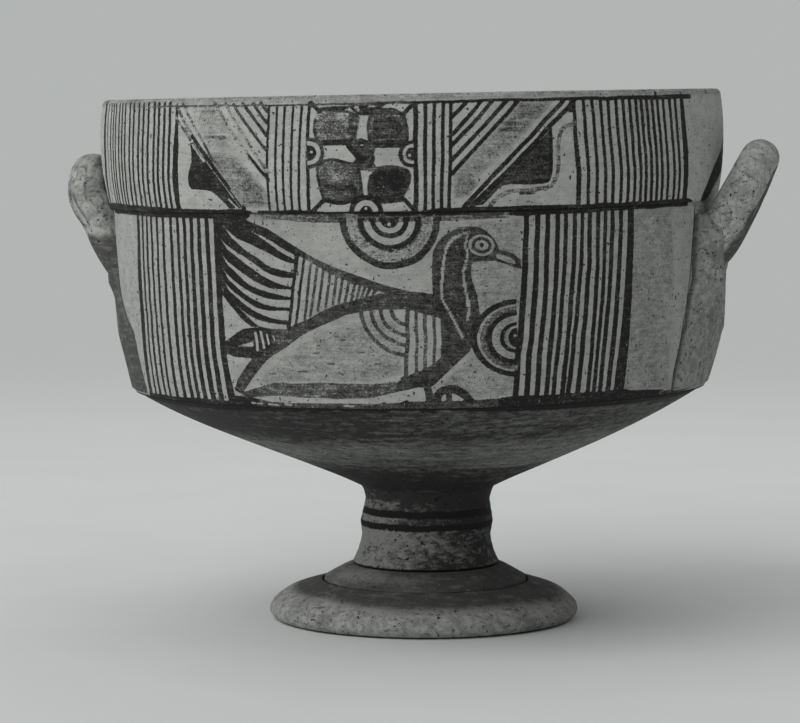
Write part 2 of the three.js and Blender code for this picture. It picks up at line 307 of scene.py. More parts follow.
def unrolled_map(mesh, angles, heights, painted, strips):
    """Give a turned piece a flat map: its painted rows in stacked strips, the rest in a narrow one."""
    ends = np.append(angles, angles[0] + 2 * math.pi)
    columns, levels = len(angles), len(heights)
    i, j = np.meshgrid(np.arange(columns), np.arange(levels), indexing="ij")
    strip = i * strips // columns
    first = np.ceil(np.arange(strips + 1) * columns / strips).astype(int)
    share = 0.9 / strips
    rows = np.append(heights, heights[0])
    low, high = heights[0], heights[painted]
    along = np.append(np.linspace(0, 1, levels), 1)
    corners = []
    for right, up in ((0, 0), (1, 0), (1, 1), (0, 1)):
        turn = (ends[i + right] - ends[first[strip]]) / (ends[first[strip + 1]] - ends[first[strip]])
        rise = (rows[j + up] - low) / (high - low)
        whole = (ends[i + right] - ends[0]) / (2 * math.pi)
        outside = j < painted
        u = np.where(outside, turn, whole)
        v = np.where(outside, (strip + 0.02 + 0.96 * rise) * share, 0.905 + 0.09 * along[j + up])
        corners.append(np.stack([u * 0.996 + 0.002, v], -1))
    layer = mesh.uv_layers.new(name="OFBake")
    layer.data.foreach_set("uv", np.stack(corners, 2).astype(np.float32).ravel())


# Painting

def from_segment(s, z, start, end):
    """How far along a straight stroke each point is nearest to it, from 0 to 1, and its distance."""
    run, rise = end[0] - start[0], end[1] - start[1]
    t = np.clip(((s - start[0]) * run + (z - start[1]) * rise) / max(run * run + rise * rise, 1e-9), 0, 1)
    return t, np.hypot(s - start[0] - t * run, z - start[1] - t * rise)


class Canvas:
    """An unrolled stretch of clay. For each layer it keeps the depth inside the paint, in millimetres,
    which is negative outside it, and how thick the paint is, from 0 to 1."""

    # Paint has its thickness up to this far outside its edge.
    RIM = 0.35

    def __init__(self, across, up, seed):
        self.across, self.up = across, up
        s, z = np.meshgrid(across, up, indexing="ij")
        self.s = s + 0.5 * (mottle(s / 7 + 90, z / 7, seed) - 0.5)
        self.z = z + 0.5 * (mottle(s / 7 + 90, z / 7, seed + 1) - 0.5)
        self.layers = {
            name: (np.full(s.shape, -REACH), np.zeros(s.shape)) for name in ("ink", "wash")
        }

    def window(self, points, margin):
        """The part of the grid that lies within a margin of the points."""
        low, high = points.min(axis=0) - margin, points.max(axis=0) + margin
        return (
            slice(*np.searchsorted(self.across, [low[0], high[0]])),
            slice(*np.searchsorted(self.up, [low[1], high[1]])),
        )

    def put(self, window, depth, tone, layer):
        """Lay paint, or scrape it away where tone is None."""
        kept, thickness = self.layers[layer]
        if tone is None:
            kept[window] = np.minimum(kept[window], -depth)
            return
        thickness[window] = np.where(depth > -self.RIM, tone, thickness[window])
        kept[window] = np.maximum(kept[window], depth)

    def line(self, points, width, tone=1, layer="ink", curved=True):
        """A brush line. width is one number, or one for each given point."""
        points = np.asarray(points, float)
        widths = np.broadcast_to(np.asarray(width, float), len(points))
        path = np.column_stack([points, widths])
        if curved and len(points) > 2:
            path = smooth(path)
        window = self.window(path[:, :2], REACH + widths.max())
        s, z = self.s[window], self.z[window]
        depth = np.full(s.shape, -REACH)
        for (s0, z0, w0), (s1, z1, w1) in zip(path, path[1:]):
            t, distance = from_segment(s, z, (s0, z0), (s1, z1))
            depth = np.maximum(depth, (w0 + (w1 - w0) * t) / 2 - distance)
        self.put(window, depth, tone, layer)

    def area(self, points, tone=1, layer="ink"):
        """A filled outline."""
        points = np.asarray(points, float)
        window = self.window(points, REACH)
        s, z = self.s[window], self.z[window]
        inside = np.zeros(s.shape, bool)
        distance = np.full(s.shape, REACH * 2)
        for (s0, z0), (s1, z1) in zip(points, np.roll(points, -1, axis=0)):
            distance = np.minimum(distance, from_segment(s, z, (s0, z0), (s1, z1))[1])
            if z1 != z0:
                inside ^= ((z0 > z) != (z1 > z)) & (s < s0 + (s1 - s0) * (z - z0) / (z1 - z0))
        self.put(window, np.where(inside, distance, -distance), tone, layer)

    def ring(self, centre, outer, inner=0, tone=1, squash=1, keep=None):
        """A disc or a ring. squash is its height over its width, and keep limits it to a side."""
        middle = np.array(centre, float)
        window = self.window(np.array([middle - outer, middle + outer]), REACH)
        s, z = self.s[window], self.z[window]
        away = np.hypot(s - middle[0], (z - middle[1]) / squash)
        depth = np.minimum(outer - away, away - inner if inner else outer)
        if keep is not None:
            depth = np.minimum(depth, keep(s, z))
        self.put(window, depth, tone, "ink")

    def rings(self, centre, rows, keep=None):
        """Rings round one centre in turn, each given as the further arguments of ring."""
        for row in rows:
            self.ring(centre, *row, keep=keep)

    def hatch(self, left, right, lines):
        """Lines between two edges: each has its shares and its widths at the top and at the bottom."""
        left, right = smooth(left), smooth(right)
        top, bottom = max(left[0][1], right[0][1]), min(left[-1][1], right[-1][1])
        levels = np.linspace(top, bottom, 14)
        start = np.interp(-levels, -left[:, 1], left[:, 0])
        end = np.interp(-levels, -right[:, 1], right[:, 0])
        for high, low, wide_high, wide_low in lines:
            share = np.linspace(high, low, len(levels))
            width = np.linspace(wide_high, wide_low, len(levels))
            self.line(np.column_stack([start + (end - start) * share, levels]), width)


def paint_wall(canvas):
    """The front between the turn and the offset: a bird between two striped panels."""
    canvas.area([(27, 171), (61, 172), (58, 104), (40, 103), (24, 107), (43, 122), (42, 140), (30, 168)],
                 0.3, "wash")
    # Thin wash right of the right panel: partly real mottled staining, partly painted shade on the side away
    # from the light.
    canvas.area([(112, 174), (140, 174), (140, 102), (107, 102)], 0.3, "wash")
    paint_wall_edges(canvas)
    paint_wall_stripes(canvas)
    paint_feathers(canvas)
    paint_body(canvas)
    paint_wing(canvas)
    paint_neck(canvas)
    paint_legs(canvas)
    paint_ring_figures(canvas)


# Crack where the clay of the right handle's pad was smeared over the wall, as (s, z)
CRACK = [(162.4, 174.4), (158.6, 160), (156.4, 150), (154, 140.4), (150.6, 128), (148.4, 118), (145.6, 108.5)]


def crack_place(z):
    """How far round the wall the crack is at a height, from the middle of the front."""
    return np.interp(z, [up for _, up in reversed(CRACK)], [s for s, _ in reversed(CRACK)]) - DRAWING_SHIFT


def paint_wall_edges(canvas):
    """The black line at the turn, and the line at the offset with the worn paint under it."""
    canvas.area([(-127, 99), (-127, 101), (-66, 101.2), (-64, 103.4), (-56, 103.2), (-50, 102.4), (-48, 99)])
    canvas.area([(-50, 99), (-50, 102.8), (-44, 101.4), (2, 101.6), (4, 102.4), (30, 102.4), (54, 102.8),
                 (54, 99)], 0.76)
    canvas.area([(51, 99), (52, 103), (60, 103.4), (112, 103.6), (116, 102.6), (138, 101.6), (138, 99)])
    canvas.line([(136, 100.4), (146, 100.2), (160, 100.6), (174, 100.8)], [2, 1.6, 1.4, 1], 0.7)
    canvas.line(CRACK, [1.2, 1, 0.9, 0.8, 0.9, 0.8, 0.7], 0.8)
    # Thin wash beside the crack, towards the right handle: partly real staining, partly painted shade.
    canvas.area([(163.5, 174), (170, 174), (168, 150), (160, 120), (154, 103), (147.5, 103), (154.5, 141)],
                0.45, "wash")
    canvas.area([(-164, 177), (-162, 175.2), (-157, 174), (-127, 173.9), (-100, 173.5), (-66, 173.6),
                 (-50, 172.8), (-46, 173.6), (-43.5, 175.1), (-6, 175), (-2, 173.7), (28, 173.6),
                 (40, 174.2), (47, 173.6), (62, 173.2), (86, 173.6), (114, 173.9), (154, 174.2),
                 (154, 177)])
    canvas.area([(-44, 175.4), (-44, 173.3), (-30, 173), (-22, 172), (-9, 171.8), (-2, 172.6), (8, 172),
                 (28, 172), (40, 172.2), (56, 172.6), (56, 174.4), (28, 174), (-2, 174.2), (-6, 175.4)], 0.6)
    canvas.area([(-50, 173), (-43.5, 172.8), (-43.4, 176), (-47, 176), (-47.4, 173.6)], 0.3)


def paint_wall_stripes(canvas):
    """Striped panels at the left and the right end of the wall."""
    left_start = [(-118.3, 173.5), (-119, 165), (-120.9, 150), (-122.8, 132), (-124.6, 118), (-125.1, 106),
                  (-124.6, 101)]
    left_end = [(-65, 173.5), (-65.2, 150), (-66, 132), (-66, 118), (-64.9, 106), (-64.3, 101.5)]
    canvas.line(left_start, [2.7, 2.9, 3.7, 4.2, 4.1, 3.9, 3.6])
    canvas.line(left_end, [2.3, 3.2, 3.3, 3.3, 3.8, 4])
    canvas.hatch(left_start, left_end, [
        (0.082, 0.096, 1.8, 1.9), (0.157, 0.172, 1.7, 2.3), (0.229, 0.258, 1.7, 2), (0.315, 0.327, 1.7, 1.9),
        (0.401, 0.421, 1.8, 2.4), (0.502, 0.52, 1.9, 2.6), (0.586, 0.605, 1.8, 2.4), (0.664, 0.674, 2, 2.3),
        (0.744, 0.747, 2.1, 2.9), (0.825, 0.829, 2.1, 3.1), (0.912, 0.907, 2.3, 2.9),
    ])
    right_start = [(63.4, 173.5), (61.7, 150), (60.1, 132), (58.8, 118), (58.2, 101.5)]
    right_end = [(112.9, 173.8), (111.2, 150), (109.7, 132), (108.7, 118), (108, 101.5)]
    canvas.line(right_start, [2.2, 2.6, 2.7, 2.6, 2.5])
    canvas.line(right_end, [3.4, 4.1, 4.8, 5.8, 5.9])
    canvas.hatch(right_start, right_end, [
        (0.097, 0.094, 2.3, 2.5), (0.185, 0.184, 2.1, 2.4), (0.274, 0.27, 2.1, 2.3), (0.347, 0.336, 1.8, 2.1),
        (0.427, 0.42, 2, 2.4), (0.502, 0.476, 1.8, 2.3), (0.575, 0.568, 2.1, 2.5), (0.653, 0.668, 2, 2.1),
        (0.726, 0.726, 1.9, 2), (0.8, 0.786, 2.2, 2.3), (0.891, 0.874, 2.2, 2.8),
    ])


def paint_feathers(canvas):
    """The black field of the raised wing, with white feathers left in it."""
    canvas.area([(-65, 173.6), (-50, 173), (-40, 169.5), (-35, 166.5), (-30, 163.8), (-27.6, 160),
                 (-33, 131.2), (-35, 130), (-50.5, 131), (-55, 133.8), (-60, 139.2), (-65, 145)])
    feathers = [
        ([(-49.5, 169.5), (-40, 165.3), (-29.6, 159.8)], [(-29.4, 157.8), (-35, 161), (-45, 167)]),
        ([(-62, 171.7), (-55, 166), (-50, 164), (-45, 162), (-40, 160), (-33, 156.8), (-29.8, 156.2)],
         [(-30.3, 152.7), (-35, 153.3), (-40, 155), (-45, 158), (-50, 160.5), (-57, 166)]),
        ([(-64, 167), (-60, 163), (-50, 157.5), (-40, 152), (-35, 150.5), (-30.5, 150.4)],
         [(-31, 146.9), (-35, 147.6), (-40, 149.6), (-50, 155), (-60, 161.5)]),
        ([(-64, 161.5), (-60, 156.5), (-50, 150.5), (-40, 146.3), (-31.2, 145.8)],
         [(-31.7, 142.8), (-40, 144.5), (-50, 147.8), (-60, 155)]),
        ([(-64, 156), (-60, 151), (-50, 145), (-40, 142), (-32, 141.8)],
         [(-32.6, 138.8), (-40, 139.3), (-50, 142.5), (-60, 149.5)]),
        ([(-64.3, 150.7), (-60, 146.3), (-50, 139.8), (-45, 138), (-33, 137.5)],
         [(-33.6, 133.8), (-40, 134.5), (-50, 138), (-60, 145)]),
        ([(-58, 139.8), (-50, 135), (-45, 133.3), (-34.5, 132)],
         [(-35, 130.4), (-45, 130.9), (-48, 132), (-52, 135)]),
    ]
    for upper, lower in feathers:
        canvas.area(np.concatenate([smooth(upper, 4), smooth(lower, 4)]), None)


def paint_body(canvas):
    """Tail, dark outline of the back, breast and belly, and the pale belly inside it."""
    back = [(-50, 130.8), (-35, 130.3), (-33, 131.5), (-25, 134.5), (-20, 137.5), (-10, 141), (0, 143.3),
            (5, 144.6), (15, 145.2), (25, 144)]
    breast = [(43, 134.5), (42.6, 129.5), (40.8, 124.5), (38.7, 121.5), (36, 119), (32, 115.5),
              (28, 112), (24.5, 108.5), (18, 107.5), (8, 106)]
    under = [(0, 104), (-15, 103.3), (-40, 104), (-57, 103)]
    rump = [(-62.5, 105.5), (-60, 110), (-55, 115.5), (-51.5, 118.5)]
    canvas.area(back + [(28, 143), (36, 140)] + breast + under + rump, 0.8)
    canvas.area([(-65, 124.8), (-60, 127.6), (-55, 130.2), (-49, 130.9), (-42, 130.6), (-42, 121),
                 (-51.5, 118.5), (-55, 118.3), (-60, 118.8), (-65, 120.4)], 0.95)
    belly_top = [(-58, 105), (-54, 109), (-50, 113), (-45, 117.7), (-40, 120.8), (-35, 123.8),
                 (-30, 127), (-25, 129.7), (-20, 132), (-10, 136), (-3, 137.5), (4, 138.2)]
    belly_end = [(15, 138.4), (28, 134.5), (28, 120), (24.3, 117), (20.5, 115), (17.3, 113.8)]
    belly_low = [(13, 112), (10, 110.2), (0, 109.3), (-20, 109.5), (-42, 109), (-50, 107)]
    canvas.area(belly_top + belly_end + belly_low, None)
    for start, end, level, width, tone in [(-34, 4, 112.2, 1.2, 0.5), (-42, -6, 115.6, 0.9, 0.3),
                                           (-38, 2, 119, 0.8, 0.24), (-20, 4, 123.4, 0.8, 0.2),
                                           (-40, -12, 110.7, 0.8, 0.35)]:
        middle = (start + end) / 2
        canvas.line([(start, level - 0.2), (middle, level), (end, level + 0.3)], width, tone, "wash")
    canvas.area([(-50, 104), (-40, 104.2), (-15, 103.6), (0, 104.2), (8, 106), (10, 109.8), (0, 108.8),
                 (-20, 109), (-42, 108.5), (-50, 106.6)], 0.64)
    canvas.area([(-50, 109), (-38, 119), (-20, 129), (2, 135), (12, 133), (12, 113), (0, 110.4), (-42, 110)],
                0.33, "wash")
    for start, end, level in [(-31, -27, 113.8), (-18, -15, 116.8), (-44, -41, 112.4), (-6, -3, 121.4),
                              (-24, -21.5, 121.2), (1, 3.4, 117.2), (-12, -10.4, 126.4)]:
        canvas.line([(start, level), (end, level + 0.2)], 0.6, 0.66)
    canvas.rings((15, 139), [(radius + 0.8, radius - 0.8, 0.72) for radius in (18.5, 14.5, 10.7, 6.5)],
                 keep=lambda s, z: np.minimum(14.6 - s, 138.4 - z))
    canvas.line([(15, 138.4), (13.6, 112)], 1.7, 0.75)
    for top, bottom, width in [((18.2, 137.4), (17.8, 113.5), 1.3), ((21.6, 136.6), (21.2, 115), 1.5),
                               ((25.2, 135.8), (24.8, 117), 1.3), ((28.4, 134.5), (28.2, 119), 1.5)]:
        canvas.line([top, bottom], width, 0.72)
    canvas.area([(-58.5, 123), (-50.7, 125.2), (-50.7, 123.2)], None)
    for top, bottom, width in [((-49.2, 128.5), (-48.8, 122), 1.3), ((-46.6, 129), (-45.6, 123), 1.2),
                               ((-43.8, 128), (-43.2, 124.3), 0.9), ((-40.9, 127.6), (-40.5, 125.8), 0.7)]:
        canvas.line([top, bottom], width, None)


def paint_wing(canvas):
    """The wing's long upper edge and the short strokes between it and the back."""
    upper = [(-30, 163.8), (-25, 160.7), (-20, 158), (-10, 153.8), (0, 150), (10, 146.7), (15, 145.4),
             (20, 144.3), (25, 143.6)]
    lower = [(6, 144.8), (0, 146.7), (-5, 148.2), (-13, 151.5), (-20, 155.3), (-28, 159.5)]
    canvas.area(np.concatenate([smooth(upper, 4), smooth(lower, 4)]), 0.76)
    canvas.line([(-28, 160), (-33.5, 131.5)], 1.4, 0.95)
    canvas.line([(-25.3, 158.4), (-30.5, 132)], 1.2, 0.9)
    for top, bottom in [
        ((-22.5, 156.4), (-26.5, 134.6)), ((-19.8, 155), (-24, 136)), ((-17.4, 153.7), (-20.8, 138)),
        ((-14.8, 152.5), (-17.6, 139.3)), ((-12.3, 151.5), (-14.6, 140.3)), ((-10, 150.5), (-12.2, 141)),
        ((-7.5, 149.5), (-9.5, 141.7)), ((-5.2, 148.6), (-7, 142)), ((-3.1, 148), (-4.8, 142.6)),
        ((-1.1, 147.3), (-2.8, 143)), ((1, 146.7), (-0.8, 143.6)), ((3.3, 146), (1.8, 144.2)),
    ]:
        canvas.line([top, bottom], 1.2, 0.72)


def paint_neck(canvas):
    """Neck, head and beak, with the white line left inside the neck and the rings of the eye."""
    left = [(24.8, 144), (24.8, 150), (25, 155), (25.6, 160), (27.3, 163.7), (30.4, 166.7)]
    crown = [(36, 169.3), (40, 169.8), (44, 169.4), (47.2, 167.8), (50, 165), (51.5, 162), (52, 160.3)]
    beak = [(54, 160), (57, 159), (60, 156.9), (60.6, 153), (58, 153.4), (55, 154.6), (50, 156.3), (43, 156)]
    throat = [(40.8, 155.5), (40.2, 152), (40.5, 149), (41.5, 146), (42.3, 143), (42.8, 139), (43, 134.5)]
    base = [(40, 128), (36, 124), (30, 130), (26, 138)]
    canvas.area(left + crown + beak + throat + base, 0.82)
    fill_left = [(40, 167.3), (36, 166.3), (33, 164.5), (31, 161.5), (29.5, 155), (28.4, 147), (28.2, 143.2),
                 (28.7, 141.5), (30.3, 138.5), (33.5, 132.5), (36.1, 127.2)]
    fill_right = [(38.2, 134), (38.8, 138), (38.3, 143), (37.2, 151), (38.8, 158), (38.4, 163), (39.4, 166)]
    canvas.line(fill_left, 0.5, 0.3)
    canvas.line(fill_right, 0.5, 0.36)
    canvas.rings((44.8, 162.3), [(5.3, 4.1, None, 0.79), (4.1, 2.7, 0.85, 0.78), (2.8, 0, None, 0.7),
                                 (0.95, 0, 0.9)])
    canvas.area([(50.6, 158.9), (54, 158.3), (57.6, 156.6), (58.4, 154.7), (54.6, 155.7), (50.6, 157.4)],
                 None)


def paint_legs(canvas):
    """Legs and feet on the line at the turn, with the gaps left round them."""
    canvas.line([(22, 108), (22.8, 104.5), (23, 101.4)], 3, 0.8)
    canvas.line([(25.6, 102.6), (26.6, 105.4), (29.5, 106.9), (33.5, 106.8), (36.8, 105), (39.4, 102)],
                 3.3, 0.85)
    canvas.line([(30.4, 105.4), (30.8, 102)], 2.6, 0.8)
    canvas.area([(8.6, 101.4), (10, 103.8), (13.6, 104), (15, 101.6)], 0.85)
    canvas.area([(31.9, 102.8), (32.4, 104), (34.6, 104.2), (36, 103.2), (36, 102.6)], None)
    canvas.area([(5, 101.8), (7, 104.5), (10, 106), (14.5, 107), (19, 108), (20.6, 102.3), (17, 102.6),
                 (14, 103.1), (10.5, 101.8)], None)
    canvas.area([(-49, 102.2), (-40, 102.9), (-20, 103.1), (0.5, 102.7), (-3, 101.9), (-20, 101.9),
                 (-40, 101.7)], None)
    for start, end, level in [(-54, -49, 100.8), (-46, -41, 100.4), (-38, -35, 100.9), (-12, -8, 100.6)]:
        canvas.line([(start, level), (end, level - 0.2)], 0.7, None)


def paint_ring_figures(canvas):
    """Half rings that hang from the offset, and half rings against the right panel."""
    canvas.rings((9.5, 173.2), [(19.4, 16.6, 0.85), (16.2, 12.2, 0.42), (12.1, 10, 1), (7.5, 5.5, 1),
                                (3.6, 0, 1)], keep=lambda s, z: 173.4 - z)
    canvas.ring((9.4, 171.2), 0.75, 0, None)
    canvas.rings((58.6, 126.3), [(19.3, 16.7, 1, 0.78), (15.6, 13.4, 0.6, 0.78), (13.2, 10.9, 1, 0.78),
                                 (7.7, 5.9, 1, 0.78), (4.1, 0, 1, 0.95)], keep=lambda s, z: 58.2 - s)
    canvas.ring((57.1, 127), 0.65, 0, None)


def paint_band(canvas):
    """The rim band: three panels between stripes, with a line under the lip and one at the offset, and
    painted shade beside the handles.
    """
    paint_band_stripes(canvas)
    paint_band_left(canvas)
    paint_band_right(canvas)
    paint_quatrefoil(canvas)
    canvas.line([(-112, 217.8), (-80, 217.7), (-20, 217.5), (20, 217.6)], [0.3, 0.7, 0.8, 1.1], 0.7)
    canvas.line([(20, 217.6), (84, 217.7), (150, 217.9)], [1.1, 1.4, 2])
    canvas.area([(-164, 218.4), (-60, 218.5), (60, 218.6), (204, 218.6), (204, 226), (-164, 226)],
                 0.4, "wash")
    for spot in ((125, 219.6), (168, 219.4)):
        canvas.ring(spot, 0.9, 0, 0.9)
    canvas.area([(-8, 219), (14, 219), (20, 217.5), (-12, 217.5)], 0.45, "wash")
    # Painted shade, with some dark paint, in the corner where a handle's coil stands in front of the band.
    # This stroke crosses the seam between the two halves, so each of them draws it from both sides.
    for start in (0, -HALF_ROUND):
        canvas.line([(start + 214, 202), (start + 205, 196), (start + 191, 190.5), (start + 178, 184.5),
                     (start + 167.5, 176.5)], [5, 11, 11, 9, 6], 0.95)
    canvas.area([(-164, 175), (-164, 177.6), (-150, 178.4), (-137, 178.5), (-110, 178.2), (-84, 177.5),
                 (-57, 177.3), (-50, 177.2), (-46.6, 176.7), (-46, 176), (-43.6, 176), (-43, 176.8),
                 (-21, 176.9), (-15, 176.1), (18, 176), (24, 176.3), (30, 177), (46, 177.3), (86, 177.1),
                 (151, 177.3), (156, 176.4), (156, 175)])


def paint_band_stripes(canvas):
    """Striped panels at both ends of the band, and the stripes beside its middle panel."""
    left_start = [(-136, 219), (-135, 210), (-135.4, 203), (-136.5, 195), (-138, 187), (-140, 177)]
    left_end = [(-80.3, 218.5), (-80, 210), (-80.8, 200), (-81.6, 195), (-82.7, 187), (-83.7, 177)]
    canvas.line(left_end, [1.4, 2, 3.1, 3.2, 3.4, 2.6])
    canvas.line([(-146, 219), (-145.8, 205), (-148, 195), (-152, 186), (-157, 177)],
                 [3.6, 4.4, 4.6, 4.8, 4.6])
    canvas.line([(-140.5, 219), (-140, 205), (-141, 195), (-144, 186), (-148, 177)], 1.3, 0.7)
    shares = [0, 0.064, 0.118, 0.195, 0.255, 0.313, 0.395, 0.458, 0.536, 0.6, 0.667, 0.744, 0.8, 0.864,
              0.926]
    canvas.hatch(left_start, left_end, [(share, share, 1.4 + 0.2 * share, 1.7) for share in shares])
    right_start = [(82.7, 217.4), (83, 205), (84, 195), (84.8, 185), (85.4, 177)]
    right_end = [(142.5, 217.6), (142.8, 210), (143.3, 203), (144.5, 195), (145.8, 187), (147, 177)]
    canvas.line(right_start, [1.3, 1.8, 2.2, 2.3, 2.2])
    canvas.area([(80.2, 212.4), (80.4, 216.6), (83.6, 216.6), (83.4, 212.6)])
    canvas.line(right_end, [3, 3.4, 3.6, 3.9, 4, 3.8])
    shares = [0.073, 0.14, 0.206, 0.266, 0.332, 0.392, 0.45, 0.507, 0.557, 0.61, 0.663, 0.717, 0.779,
              0.853, 0.916]
    canvas.hatch(right_start, right_end, [
        (share, share, 1.5 + 0.5 * share, 1.6 + 0.4 * share) for share in shares
    ])
    for top, bottom, width in [(-36, -37.8, 1.1), (-32.6, -34.4, 1.1), (-29.4, -31.2, 1.1), (-26, -28, 1.1),
                               (-22.6, -24.9, 1.1), (24.3, 23.6, 1.5), (27.5, 26.6, 1.4), (30.9, 29.8, 1.5),
                               (33.9, 32.7, 1.4)]:
        above = top + (top - bottom) * 0.1
        canvas.line([(above, 217.4), (top, 210), (bottom, 180), (bottom - 0.1, 176.6)], width)


def paint_band_left(canvas):
    """Left panel of the band: a dark hill, a set of lines beside it, slanting lines and a worn wash."""
    canvas.area([(-64, 199), (-58, 199.5), (-50, 198), (-43, 190.5), (-38, 184), (-38, 178), (-49, 178),
                 (-58, 189)], 0.5, "wash")
    canvas.area([(-50, 193), (-45, 190.5), (-40, 185), (-41, 180), (-47, 180)], 0.58, "wash")
    canvas.area([(-72, 218), (-60, 218), (-52, 208), (-52, 202), (-62, 202), (-67, 208)], 0.31, "wash")
    for start, end, level, tone in [(-70, -62, 217.4, 0.4), (-66, -60, 215, 0.5), (-64, -60, 210.8, 0.42),
                                    (-65, -55, 205.2, 0.62), (-64, -53, 202, 0.45), (-58, -51, 197.6, 0.5)]:
        canvas.line([(start, level), ((start + end) / 2, level + 0.3), (end, level)], 0.7, tone, "wash")
    canvas.area([(-72.8, 203.4), (-71, 203.6), (-65.6, 196.8), (-60, 190), (-50.8, 177.6), (-56.4, 177.6),
                 (-58.1, 179.6), (-60.6, 182.1), (-63.1, 183.9), (-65.3, 184.7), (-73.9, 185.1),
                 (-75.4, 186.4), (-75.3, 189.6), (-74.2, 192.4), (-72.4, 196), (-72.1, 200)], 0.97)
    canvas.line([(-80.4, 213.4), (-76, 208.9), (-72.5, 204.6)], 1.3, 0.55)
    canvas.line([(-80.6, 218.4), (-76, 212), (-71, 205.6)], [1.2, 1.6, 1.7], 0.5)
    canvas.line([(-71, 205.6), (-66.5, 200), (-60.6, 192.8), (-55.3, 186), (-49.2, 177.6)], 1.8, 0.95)
    canvas.line([(-77, 218.6), (-70, 209.6), (-65, 202.4)], 1.3, 0.5)
    canvas.line([(-65, 202.4), (-61.3, 196.2)], [1.3, 0.9], 0.75)
    canvas.line([(-71.4, 202.6), (-65.8, 196)], 0.8, None)
    canvas.line([(-56, 181.4), (-52.4, 177.6)], 0.8, None)
    canvas.line([(-54, 184.8), (-49.8, 179)], 0.7, None)
    for points, tone in [
        ([(-60.5, 218.9), (-52, 207.6), (-44, 197.6)], 0.45),
        ([(-44, 197.6), (-40, 192.6), (-36.9, 188.8)], 0.95),
        ([(-55.5, 218.4), (-46, 205.3), (-37, 192)], 0.5),
        ([(-51.4, 218.1), (-43.5, 208), (-36.9, 200.2)], 0.78),
        ([(-47.3, 218.5), (-36.7, 205.8)], 0.85), ([(-42.8, 218.1), (-36.7, 210.6)], 0.9),
        ([(-39.6, 218.6), (-36.6, 215.2)], 0.85),
    ]:
        canvas.line(points, 1.35, tone)


def paint_band_right(canvas):
    """Right panel of the band: slanting lines, a pair of long ones, and a dark hill with its outline."""
    canvas.area([(37, 192), (59, 215), (72, 217), (66, 209), (58, 201), (48, 192.5), (42, 187), (36, 181),
                 (34.6, 186)], 0.44, "wash")
    canvas.area([(60, 216.6), (73.5, 216.6), (68, 210.5), (57, 210.6)], 0.55, "wash")
    canvas.area([(34.6, 190), (41, 190), (43.5, 186), (40, 181.4), (35, 180.5)], 0.54, "wash")
    for start, end, level in [(60, 72, 215.4), (57, 68, 212.6), (53, 64, 209), (52, 60, 206.2)]:
        canvas.line([(start, level), ((start + end) / 2, level + 0.2), (end, level)], 0.8, 0.6, "wash")
    for top, end, low in [(39.6, 34.6, 211.7), (45.1, 34.7, 205), (49.7, 34.3, 200.9), (55, 34, 195.3)]:
        canvas.line([(top, 217.2), (end, low)], 1.6, 0.95)
    canvas.line([(59.4, 217), (33.9, 190.3)], 1.6, 0.95)
    canvas.area([(72.9, 206.4), (73, 189.6), (72.4, 186.8), (70, 185.6), (60, 186), (55.7, 185.6),
                 (52.1, 184.6), (50.7, 183.1), (45.7, 178.1), (41.4, 177.6), (48.6, 184.6), (61.4, 196.7)],
                 0.8)
    canvas.line([(78.2, 217), (67.1, 206.4), (60, 199.6), (50.7, 190.3), (38.4, 177.4)], 1.8, 0.95)
    canvas.line([(82.9, 217), (76, 210.6), (70, 205.3), (61.4, 196.7), (48.6, 184.6), (41.2, 177.4)], 1.9)
    canvas.line([(72.6, 206), (72.7, 190), (71.6, 186.7), (69.6, 186), (57, 186)], 1.1, 0.95)
    canvas.line([(82.8, 208.4), (77.6, 206.2), (75.9, 202), (75.8, 192), (75, 187.6), (72.4, 184.4),
                 (66, 183.3), (56, 182.7), (51, 180.4), (48.4, 177.6)], 1.7, 0.55)
    canvas.line([(66, 182), (60, 181.8)], 0.6, 0.8)


